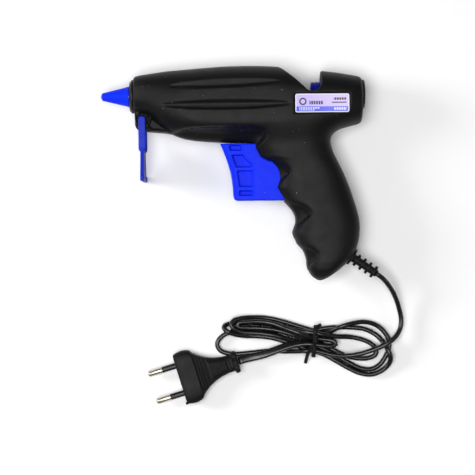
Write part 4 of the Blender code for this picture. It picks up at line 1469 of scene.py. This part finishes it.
    def _belly(self, x: Array, y: Array) -> Array:
        """The long hollow under the barrel, with a rounded rear end.

        Args:
            x: Distance back.
            y: Height.

        Returns:
            The depth.
        """
        rear = self.belly_end - 0.10 * (y + 25.0) ** 2 * (y < -25.0)
        below = smooth_rows(self.belly, x, 1) - y
        inside = ease(below, -0.3, 2.2) * ease(x, 22.0, 30.0) * ease(rear - x, -0.2, 5.5)
        return 3.6 * inside * (1 - 0.35 * ease(below, 3.0, 11.0))

    @staticmethod
    def _scoop(x: Array, y: Array, low: tuple, high: tuple, wide: float, depth: float) -> Array:
        """A finger scoop, deepest just above its crease.

        Args:
            x: Distance back.
            y: Height.
            low: The crease's low end, at the handle's front.
            high: Its high end.
            wide: How far the scoop reaches above the crease.
            depth: Its depth.

        Returns:
            The depth.
        """
        ex, ey = high[0] - low[0], high[1] - low[1]
        long = math.hypot(ex, ey)
        ux, uy = ex / long, ey / long
        along = (x - low[0]) * ux + (y - low[1]) * uy
        above = (y - low[1]) * ux - (x - low[0]) * uy
        crest = 1 - np.clip(above / wide, 0, 1)
        end = long + 1.3 - 0.055 * (above - 4.2) ** 2
        return depth * ease(above, -0.1, 1.8) * crest**0.7 * ease(end - along, -0.1, 5.5)

    def cavity(self, outer: Array, x: Array, y: Array, z: Array) -> Array:
        """The space inside: the outer shape drawn in, less the ribs, bulkheads and screw posts.

        Args:
            outer: The outer shape's field.
            x: Distance back.
            y: Height.
            z: Distance out of the left side.

        Returns:
            The field, negative where there is space.
        """
        at, ring, deep = (x, y, z), np.hypot(y, z), np.abs(z)
        space = less(outer + self.wall, polygon_field(self.notch, x, y) - self.wall)
        plates = np.minimum(*(box_field(at, *plate) for plate in self.front_plates))
        plates = np.maximum(plates, np.maximum(9.0 - ring, -box_field(at, *self.lead_gap)))
        solid = np.minimum(plates, np.maximum(box_field(at, *self.rear_plate), 8.4 - ring))
        for px, py in self.screws:
            solid = np.minimum(solid, np.hypot(x - px, y - py) - self.post_radius + 0 * z)
        pivot = np.hypot(x - self.lever_pivot[0], y - self.lever_pivot[1])
        solid = np.minimum(solid, np.maximum(pivot - 3.6, 10.7 - deep))
        ribs = np.maximum(box_field(at, *self.slide_floor), 2.8 - deep)
        for rib in self.slide_ribs:
            ribs = np.minimum(ribs, box_field(at, *rib))
        wires = np.maximum(box_field(at, *self.wire_way), 8.4 - deep)
        solid = np.minimum(solid, np.maximum(ribs, -wires))
        along, across = self.relief_axes(x, y)
        solid = np.minimum(solid, np.maximum(np.hypot(across, z) - 6.8, -3.4 - along))
        for side in (-5.2, 5.2):
            post = np.hypot(along + 12, across - side) - 2.6
            solid = np.minimum(solid, np.maximum(post + 0 * z, z + 0.2))
        return less(space, solid, 0.5)

    @staticmethod
    def relief_axes(x: Array, y: Array) -> tuple[Array, Array]:
        """Distances from the strain relief's seat.

        Args:
            x: Distance back.
            y: Height.

        Returns:
            The distance along the relief's axis, and the distance across it.
        """
        turn = math.radians(StrainRelief.angle_deg)
        c, s = math.cos(turn), math.sin(turn)
        dx, dy = x - StrainRelief.point[0], y - StrainRelief.point[1]
        return dx * c + dy * s, dy * c - dx * s

    def lug_field(self, x: Array, y: Array, z: Array) -> Array:
        """The stand's lug, with a sunk side, a boss and crossed ribs.

        Args:
            x: Distance back.
            y: Height.
            z: Distance out of the left side.

        Returns:
            The field, negative inside.
        """
        deep = np.abs(z)
        outline = polygon_field(self.lug, x, y)
        body = meet(outline, deep - 9.5, 0.8)
        spoke_x, spoke_y = x - self.stand_pivot[0], y - self.stand_pivot[1]
        reach = np.hypot(spoke_x, spoke_y)
        turned_a = np.abs(spoke_x * 0.77 + spoke_y * 0.64)
        turned_b = np.abs(spoke_x * 0.64 - spoke_y * 0.77)
        kept = np.minimum(np.abs(reach - 4.9) - 0.65, np.minimum(turned_a, turned_b) - 0.5)
        kept = np.minimum(kept, reach - 2.7)
        sunk = np.maximum(np.maximum(outline + 1.3, -kept), 8.2 - deep)
        return less(body, sunk, 0.4)

    def _openings(self, shape: Array, x: Array, y: Array, z: Array, side: int) -> Array:
        """Cuts the bores, the trigger's mouth, the seats and the holes.

        Args:
            shape: The shell's field.
            x: Distance back.
            y: Height.
            z: Distance out of the left side.
            side: 1 for the left shell, -1 for the right.

        Returns:
            The field with its openings.
        """
        ring = np.hypot(y, z)
        for radius, start, end in self.bores:
            shape = less(shape, np.maximum(ring - radius, np.maximum(start - x, x - end)), 0.4)
        shape = less(shape, box_field((x, y, z), *self.mouth), 0.8)
        stand = np.hypot(x - self.stand_pivot[0], y - self.stand_pivot[1])
        shape = less(shape, stand - 1.9 + 0 * z, 0.4)
        lever = np.hypot(x - self.lever_pivot[0], y - self.lever_pivot[1])
        shape = less(shape, np.maximum(lever - 1.85, np.abs(z) - 15), 0.2)
        along, across = self.relief_axes(x, y)
        radius = np.hypot(across, z)
        shape = less(shape, np.maximum(radius - 6.1, -along), 0.5)
        shape = less(shape, np.maximum(radius - 3.5, -5 - along))
        if side > 0:
            shape = less(shape, self._label_seat(x, y, z), 0.3)
        for px, py in self.screws:
            reach = np.hypot(x - px, y - py)
            hole = reach - self.screw_hole
            shape = less(shape, np.maximum(hole, z - 8.6) if side > 0 else hole + 0 * z)
            if side < 0:
                shape = less(shape, np.maximum(reach - self.head_hole, z + 9.0), 0.4)
        return shape

    def _label_seat(self, x: Array, y: Array, z: Array) -> Array:
        """The shallow seat that the label lies in.

        Args:
            x: Distance back.
            y: Height.
            z: Distance out of the left side.

        Returns:
            The field, negative in the seat.
        """
        tilt = math.radians(self.label_tilt_deg)
        dx, dy, dz = x - self.label_at[0], y - self.label_at[1], z - self.label_at[2]
        u = dx * math.cos(tilt) - dz * math.sin(tilt)
        w = dx * math.sin(tilt) + dz * math.cos(tilt)
        edge = np.maximum(np.abs(u) - self.label_half[0], np.abs(dy) - self.label_half[1])
        return np.maximum(edge, -w)

    def shell(self, side: int, node: str, name: str) -> bpy.types.Object:
        """One shell as a closed mesh, made on its own side's grid and mirrored for the right.

        Args:
            side: 1 for the left shell, -1 for the right.
            node: The CAD node it stands for.
            name: The piece's name.

        Returns:
            The piece.
        """
        block = Block((-2.1, -121.5, -0.9), (149.4, 20.7, 23.1), self.step)
        x, y, out = block.axes()
        z = out * side
        outer = self.outside(x, y, z)
        shape = less(outer, polygon_field(self.notch, x, y) + 0 * z, 0.9)
        shape = less(shape, self.cavity(outer, x, y, z), 0.4)
        shape = join(shape, self.lug_field(x, y, z), 1.2)
        shape = self._openings(shape, x, y, z, side)
        shape = meet(shape, HALF_GAP - out, 0.7)
        points, faces = block.mesh(shape.astype(np.float32))
        if side < 0:
            points[:, 2] *= -1
            faces = [face[::-1] for face in faces]
        shell = piece_from(name, in_gun(points), faces, SHELL_BLACK)
        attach(shell, "gun")
        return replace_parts(shell, node)

    def build(self) -> list[bpy.types.Object]:
        """The left shell, then the right."""
        return [self.shell(1, "housing_left", "shell_left"), self.shell(-1, "housing_right", "shell_right")]


# ---- Trigger and stand ----
@dataclass
class Trigger:
    """The sliding trigger with its pocketed sides and its tongue to the lever."""

    step: float = 0.42
    half: float = 7.5
    # The first corners, up to this many, are the front edge.
    front_corners: int = 10
    outline: tuple = (
        (55.3, -31.3), (56.7, -33.8), (58.9, -39.7), (60.4, -44.2), (61.9, -49.4), (62.8, -54.6),
        (63.4, -59.8), (63.6, -65.0), (64.2, -67.2), (66.0, -68.2), (97.5, -68.2), (97.5, -42.8),
        (87.0, -42.8), (83.2, -40.6), (80.4, -36.4), (79.2, -31.5),
    )
    pockets: tuple = (
        ((61.2, -33.4), (62.4, -32.4), (68.7, -32.4), (69.6, -35.9), (62.0, -35.9)),
        ((62.9, -38.7), (69.9, -38.7), (72.2, -41.8), (76.0, -45.0), (76.0, -46.6), (65.6, -46.6)),
        ((66.2, -48.9), (76.2, -48.9), (76.2, -59.3), (67.7, -59.3)),
        ((67.6, -61.8), (76.2, -61.8), (76.2, -65.0), (67.4, -65.0)),
    )
    # The tongue's two cheeks, their root, the pin between them and the return spring's post.
    cheek_offset: float = 4.0
    cheek_half: float = 1.3
    root: tuple = ((90, -47, -5.2), (98.5, -40.4, 5.2))
    tongue_pin: tuple[float, float] = (109.8, -40.9)
    spring_height: float = -57.0

    def build(self) -> bpy.types.Object:
        """The trigger as one closed mesh.

        Returns:
            The piece.
        """
        block = Block((54.2, -69.4, -9), (114.2, -30.2, 9), self.step)
        x, y, z = block.axes()
        deep = np.abs(z)
        from_front = x - self._front_edge(y)
        chamfer = 1.1 * (1 - ease(from_front, 0.0, 1.8))
        line = 0.35 * np.exp(-(((from_front - 2.3) / 0.42) ** 2))
        shape = meet(polygon_field(self.outline, x, y), deep - self.half + chamfer + line, 1.0)
        for pocket in self.pockets:
            outline = polygon_field(pocket, x, y)
            rim = np.maximum(np.abs(outline - 0.35) - 0.35, deep - self.half - 0.22)
            shape = join(shape, np.maximum(rim, 6.0 - deep), 0.2)
            shape = less(shape, np.maximum(outline + 0.15, 2.6 - deep), 0.7)
        for middle in (-self.cheek_offset, self.cheek_offset):
            low, high = middle - self.cheek_half, middle + self.cheek_half
            shape = join(shape, box_field((x, y, z), (95, -47, low), (112.4, -37.8, high)), 0.4)
        shape = join(shape, box_field((x, y, z), *self.root), 0.6)
        pin = np.hypot(x - self.tongue_pin[0], y - self.tongue_pin[1]) - 1.5
        shape = join(shape, np.maximum(pin, deep - 5), 0.2)
        post = np.maximum(np.hypot(y - self.spring_height, z) - 2.2, np.maximum(x - 102, 96 - x))
        shape = join(shape, post, 0.5)
        points, faces = block.mesh(shape)
        trigger = piece_from("trigger_moulding", in_gun(points), faces, BLUE)
        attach(trigger, "trigger")
        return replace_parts(trigger, "trigger")

    def _front_edge(self, y: Array) -> Array:
        """The front outline's distance back at each height."""
        rows = sorted((py, px) for px, py in self.outline[: self.front_corners])
        return smooth_rows(rows, y, 1)


@dataclass
class Stand:
    """The fold-out stand: a ribbed plate, two arms and the pins in the lug."""

    step: float = 0.36
    hinge: tuple[float, float] = Housing.stand_pivot
    # Outlines across and down from the hinge: the plate, the tongue above it and one of its two notches.
    plate: tuple = (
        (11.8, -18.6), (17.6, -36.2), (18.4, -39.5), (-18.4, -39.5), (-17.6, -36.2), (-11.8, -18.6),
    )
    tongue: tuple = ((-7.6, -20), (7.6, -20), (7.6, -16.4), (6.2, -15.0), (-6.2, -15.0), (-7.6, -16.4))
    notch: tuple = ((7.9, -19.6), (9.6, -19.6), (9.6, -15), (7.9, -15))
    foot: tuple[float, float] = (19.9, -37.7)
    arm_offset: float = 10.8
    arm_length: float = 18.6

    def build(self) -> bpy.types.Object:
        """The stand as one closed mesh. Its own frame has the hinge at the origin and y towards the barrel.

        Returns:
            The piece.
        """
        block = Block((-3.4, -41.2, -22.6), (3.6, 3.2, 22.6), self.step)
        x, y, z = block.axes()
        plate = polygon_field(self.plate, z, y)
        body = meet(plate, np.abs(x) - (0.72 + 0.42 * ease(plate, -2.0, -0.9)), 0.5)
        body = join(body, meet(polygon_field(self.tongue, z, y), np.abs(x) - 0.9, 0.5), 0.3)
        hinge = np.hypot(x, y)
        for side in (-1, 1):
            notch = polygon_field([(side * across, up) for across, up in self.notch], z, y)
            body = less(body, notch + 0 * x, 0.5)
            beside = np.maximum(np.abs(z - side * self.foot[0]) - 0.9, 0)
            foot = np.hypot(beside, np.maximum(np.abs(y - self.foot[1]) - 1.1, 0)) - 0.85
            body = join(body, meet(foot, np.abs(x - 0.3) - 1.25, 0.6), 0.8)
            arm = np.hypot(x, y - np.clip(y, -self.arm_length, 0.0)) - 2.3
            body = join(body, meet(arm, np.abs(z - side * self.arm_offset) - 1.0, 0.6), 0.7)
            body = join(body, meet(hinge - 2.35 + 0 * z, np.abs(z - side * 10.2) - 0.45, 0.3), 0.2)
            pin = np.maximum(hinge - 1.5, np.maximum(7.4 - side * z, side * z - 10.3))
            body = join(body, pin, 0.3)
        points, faces = block.mesh(body)
        stand = piece_from("stand_moulding", in_gun(points + (*self.hinge, 0.0)), faces, NAVY)
        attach(stand, "stand")
        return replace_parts(stand, "stand")


# ---- Turned pieces on the stick's axis ----
@dataclass
class StickLine:
    """The collar, nozzle, nozzle cover, feed carriage and rear ring. Rows: distance back, radius."""

    sides: int = 72
    pin_radius: float = 1.5
    collar_rows: tuple = (
        (4.4, 5.6), (4.4, 8.6), (2.9, 8.6), (2.5, 7.1), (-0.3, 7.1), (-0.3, 11.0), (-1.5, 10.8),
        (-1.6, 10.2), (-2.7, 9.4), (-2.7, 7.6), (-2.0, 7.3), (-2.0, 6.6), (-2.7, 6.3), (-2.7, 5.6),
    )
    cover_rows: tuple = (
        (-3.0, 5.25), (-3.0, 6.6), (-3.9, 6.6), (-4.2, 6.35), (-20.1, 2.5), (-20.6, 2.25), (-20.6, 1.85),
    )
    nozzle_rows: tuple = (
        (4.7, 2.1), (4.7, 4.9), (-4.0, 4.9), (-20.9, 1.4), (-21.4, 1.2), (-21.4, 0.75), (-17.2, 0.75),
        (-16.0, 2.1),
    )
    rear_rows: tuple = (
        (149.4, 6.0), (149.4, 8.4), (149.0, 9.1), (148.4, 9.5), (147.6, 9.5), (147.6, 7.6), (144.8, 7.6),
        (144.4, 8.7), (142.9, 8.7), (142.9, 6.0),
    )
    carriage_rows: tuple = (
        (140, 6.0), (140, 8.0), (117.2, 8.0), (116.9, 7.75), (116.4, 7.75), (116.1, 8.0), (115.1, 8.0),
        (114.5, 7.3), (114.5, 6.0),
    )

    def ring(
        self, name: str, node: str, body: str, profile: Outline, finish: Finish, soft: float
    ) -> bpy.types.Object:
        """One ring turned about the stick's axis.

        Args:
            name: The piece's name.
            node: The CAD node it stands for.
            body: The body it rides on.
            profile: Closed rows of distance back and radius.
            finish: Its finish.
            soft: The radius of its edges.

        Returns:
            The piece.
        """
        turned = lathe(ring_profile(profile, soft), self.sides, in_gun, closed=True)
        made = keep_edges(piece_from(name, *turned, finish), 50)
        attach(made, body)
        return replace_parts(made, node)

    def build(self) -> list[bpy.types.Object]:
        """All five, each in its own finish.

        Returns:
            The pieces, from the front back, and the carriage last.
        """
        rings = (
            ("collar_ring", "front_collar", self.collar_rows, RING_BLACK, 0.5),
            ("cover_cone", "nozzle_cover", self.cover_rows, BLUE, 0.35),
            ("nozzle_turned", "nozzle", self.nozzle_rows, BRASS, 0.15),
            ("stick_ring", "rear_ring", self.rear_rows, RING_BLACK, 0.35),
        )
        made = [self.ring(name, node, "gun", rows, finish, soft) for name, node, rows, finish, soft in rings]
        return [*made, self.carriage()]

    def carriage(self) -> bpy.types.Object:
        """The feed carriage with its raised front band and its side pins.

        Returns:
            The piece.
        """
        parts = [lathe(ring_profile(self.carriage_rows, 0.25), self.sides, in_gun, closed=True)]
        low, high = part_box("feed_carriage")
        # The pins stand on the line through the lever's pivot and the trigger's pin.
        pivot_x, pivot_y = Housing.lever_pivot
        pin_x, pin_y = pivot_x + (pivot_x - Trigger.tongue_pin[0]) / 17.9 * 18.0, pivot_y + 18.0
        reach = (high.z - low.z) / 2 / MM
        rows = [(5.8, 0), (5.8, self.pin_radius), (reach - 0.3, self.pin_radius), (reach, 1.2), (reach, 0)]
        for side in (-1, 1):

            def carry(points: Array, side: int = side) -> Array:
                """Stands a pin out of the carriage's side."""
                along, x, y = points.T
                return in_gun(np.column_stack([x + pin_x, y + pin_y, along * side]))

            parts.append(lathe(rows, 28, carry))
        # The carriage's blue is darkened as painted shade, for where it sits in the notch.
        made = keep_edges(piece_from("carriage_sleeve", *joined(parts), BLUE_PAINTED_SHADE))
        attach(made, "carriage")
        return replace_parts(made, "feed_carriage")


# ---- Strain relief and screws ----
@dataclass
class StrainRelief:
    """The flanged sleeve on the lead, with its ring fins. Rows: distance along, radius."""

    point: tuple[float, float] = (138.9, -104.6)
    angle_deg: float = -35.0
    sides: int = 40
    fins: int = 4
    first: float = 5.2
    pitch: float = 4.4
    core_rows: tuple = (
        (-6.0, 0), (-6.0, 5.0), (-3.8, 5.0), (-3.7, 3.2), (0.3, 3.2), (0.3, 5.75), (2.0, 5.75), (2.4, 2.9),
        (4.0, 2.65), (20.8, 2.35), (20.8, 0),
    )
    fin_rows: tuple = ((-0.8, 2.3), (-0.8, 4.2), (0.8, 4.2), (0.8, 2.3))

    def carry(self, points: Array) -> Array:
        """Carries points to the relief's place.

        Args:
            points: (along, across, across) rows in millimetres.

        Returns:
            The points in metres.
        """
        c, s = math.cos(math.radians(self.angle_deg)), math.sin(math.radians(self.angle_deg))
        x = points[:, 0] * c - points[:, 1] * s + self.point[0]
        y = points[:, 0] * s + points[:, 1] * c + self.point[1]
        return in_gun(np.column_stack([x, y, points[:, 2]]))

    def build(self) -> list[bpy.types.Object]:
        """The sleeve, and the fins set along it.

        Returns:
            Both pieces.
        """
        core = lathe(rounded(self.core_rows, 0.35), self.sides, self.carry)
        sleeve = keep_edges(piece_from("relief_sleeve", *core, PLUG_BLACK))
        shape = lathe(ring_profile(self.fin_rows, 0.25), self.sides, lambda p: p * MM, closed=True)
        seeds = self.carry(np.array([(self.first + self.pitch * i, 0.0, 0.0) for i in range(self.fins)]))
        turns = np.tile((0, 0, math.radians(self.angle_deg)), (self.fins, 1))
        fins = copies_of("relief_fins", shape, seeds, turns, PLUG_BLACK)
        for piece in (sleeve, fins):
            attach(piece, "gun")
        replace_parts(sleeve, "strain_relief")
        return [sleeve, fins]


@dataclass
class Fasteners:
    """The housing's screws with their crossed recesses."""

    places: tuple = Housing.screws
    step: float = 0.2
    head_radius: float = 2.7
    head_middle: float = -10.5
    shank_radius: float = 1.28
    thread_depth: float = 0.22
    thread_pitch: float = 1.3
    tip: float = 8.6
    # Half the width and half the length of each arm of the cross.
    cross: tuple[float, float] = (0.42, 1.55)

    def build(self) -> bpy.types.Object:
        """All seven screws, heads in the right shell, as copies of one.

        Returns:
            The piece.
        """
        block = Block((-3.2, -3.2, -12.2), (3.2, 3.2, 8.8), self.step)
        x, y, z = block.axes()
        reach = np.hypot(x, y)
        head = meet(reach - self.head_radius + 0 * z, np.abs(z - self.head_middle) - 1.1, 0.8)
        wave = np.clip(np.cos(2 * math.pi * z / self.thread_pitch - np.arctan2(y, x)) * 1.6, -1, 1)
        thread = self.shank_radius + self.thread_depth * wave * ease(z, -8.6, -7.0)
        shank = meet(reach - thread, np.abs(z + 0.6) - 8.9, 0.5)
        shape = join(head, meet(shank, reach - (self.tip - z) * 0.75), 0.2)
        narrow, long = self.cross
        arms = [np.maximum(np.abs(a) - narrow, np.abs(b) - long) for a, b in ((x, y), (y, x))]
        shape = less(shape, np.maximum(np.minimum(*arms) + 0 * z, z + 10.3), 0.2)
        points, faces = block.mesh(shape)
        seeds = np.array([(px, py, 0.0) for px, py in self.places])
        turns = np.array([(0, 0, 0.4 + 1.1 * i) for i in range(len(seeds))])
        screws = copies_of("shell_screws", (points * MM, faces), in_gun(seeds), turns, ZINC)
        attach(screws, "gun")
        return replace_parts(screws, *[f"housing_screw_{i}" for i in range(1, len(seeds) + 1)])


# ---- Label ----
@dataclass(frozen=True)
class LabelFinish:
    """A printed label: a pale field, a darker band, a ring mark and plain bars."""

    centre: tuple[float, float] = Housing.label_at[:2]
    half: tuple[float, float] = (17.0, 5.8)
    border: float = 0.45
    band_top: float = -2.1
    ring_at: tuple[float, float] = (-12.4, 1.0)
    ring_radius: float = 1.9
    block_pitch: float = 1.55
    # Bars: left, right, bottom and top from the label's centre.
    dark_bars: tuple = ((-8.2, 0.6, -0.9, 1.3), (7.2, 15.4, 1.9, 3.4), (6.0, 15.4, 0.0, 0.7))
    pale_bars: tuple = ((-14.8, -1.6, -3.6, -2.8), (-14.8, -4.6, -4.7, -4.1), (7.4, 15.4, -4.4, -2.9))

    def dress(self, node: bpy.types.Object) -> None:
        """Gives the label node its print.

        Args:
            node: The CAD node of the label.
        """
        graph = Graph("label_print")
        x, y, _ = graph.axes()
        u = x / MM - float(GUN_ORIGIN[0] + self.centre[0])
        v = y / MM - float(GUN_ORIGIN[1] + self.centre[1])
        band = graph.smooth_step(v, self.band_top, self.band_top - 0.2)
        tint = graph.mix(graph.smooth_step(u + v, -16, 18), (0.50, 0.42, 0.86), (0.66, 0.55, 0.92))
        deep = graph.mix(graph.smooth_step(u, -14, 16), (0.03, 0.06, 0.72), (0.16, 0.18, 0.80))
        colour = graph.mix(band, tint, deep)
        colour = graph.mix(self._ring(graph, u, v), colour, (0.02, 0.02, 0.03))
        for bar in self.dark_bars:
            blocks = bar[3] - bar[2] > 1
            colour = graph.mix(self._bar(graph, u, v, bar, blocks), colour, (0.03, 0.03, 0.04))
        for bar in self.pale_bars:
            colour = graph.mix(self._bar(graph, u, v, bar, True) * 0.8, colour, (0.85, 0.86, 0.95))
        beside = graph.math("ABSOLUTE", u) - (self.half[0] - self.border)
        above = graph.math("ABSOLUTE", v) - (self.half[1] - self.border)
        edge = graph.smooth_step(graph.math("MAXIMUM", beside, above), -0.05, 0.1)
        colour = graph.mix(edge, colour, (0.80, 0.78, 0.90))
        graph.feed(graph.shader.inputs["Base Color"], colour)
        graph.feed(graph.shader.inputs["Roughness"], graph.noise(4, 3) * 0.2 + 0.28)
        graph.bump(graph.noise(2.5, 3), 0.02)
        node.data.materials.clear()
        node.data.materials.append(graph.material)

    def _ring(self, graph: Graph, u: Term, v: Term) -> Term:
        """The plain ring beside the bars.

        Args:
            graph: The label's node tree.
            u: Millimetres to the right of the label's centre.
            v: Millimetres above it.

        Returns:
            One on the ring, else nothing.
        """
        du, dv = u - self.ring_at[0], v - self.ring_at[1]
        reach = graph.math("SQRT", du * du + dv * dv)
        return graph.smooth_step(graph.math("ABSOLUTE", reach - self.ring_radius), 0.55, 0.4)

    def _bar(self, graph: Graph, u: Term, v: Term, box: tuple, blocks: bool) -> Term:
        """A bar, perhaps broken into short blocks.

        Args:
            graph: The label's node tree.
            u: Millimetres to the right of the label's centre.
            v: Millimetres above it.
            box: The bar's left, right, bottom and top.
            blocks: Whether gaps break it.

        Returns:
            One on the bar, else nothing.
        """
        low, high, bottom, top = box
        inside = (u > low) * (u < high) * (v > bottom) * (v < top)
        if not blocks:
            return inside
        return inside * (graph.math("FRACT", u / self.block_pitch + float(low)) > 0.24)


# ---- Parts kept from the frame ----
KEPT = {
    ZINC: (
        "check_ball", "check_spring", "heater_clamp", "sleeve_clamp", "lever_pin", "return_spring",
        "clamp_screw_1", "clamp_screw_2",
    ),
    CASTING: ("melt_chamber",),
    CERAMIC: ("heater_element",),
    SILICONE: ("inlet_sleeve",),
    BLUE: ("feed_lever",),
    SHEATH: ("cord_stub",),
    WIRE_WHITE: ("cord_clamp", "heater_lead_1", "heater_lead_2"),
}


def dress_kept_nodes() -> None:
    """Gives every CAD node that stays its own finish."""
    for finish, names in KEPT.items():
        for name in names:
            dress(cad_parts[name], finish)
    LabelFinish().dress(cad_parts["rating_label"])


def main() -> None:
    """Builds everything, the camera and the lead first."""
    logging.basicConfig(level=logging.INFO, format="%(message)s")
    Studio().build()
    maker = MainsLead()
    lead, route = maker.build()
    tie = maker.tie(route)
    plug = Plug().build()
    relief = StrainRelief().build()
    pieces = [lead, tie, *plug, *relief, *Housing().build(), Trigger().build(), Stand().build()]
    pieces += [*StickLine().build(), Fasteners().build()]
    dress_kept_nodes()
    for piece in pieces:
        LOG.info("%s: %d faces", piece.name, len(piece.data.polygons))


if __name__ == "__main__":
    main()
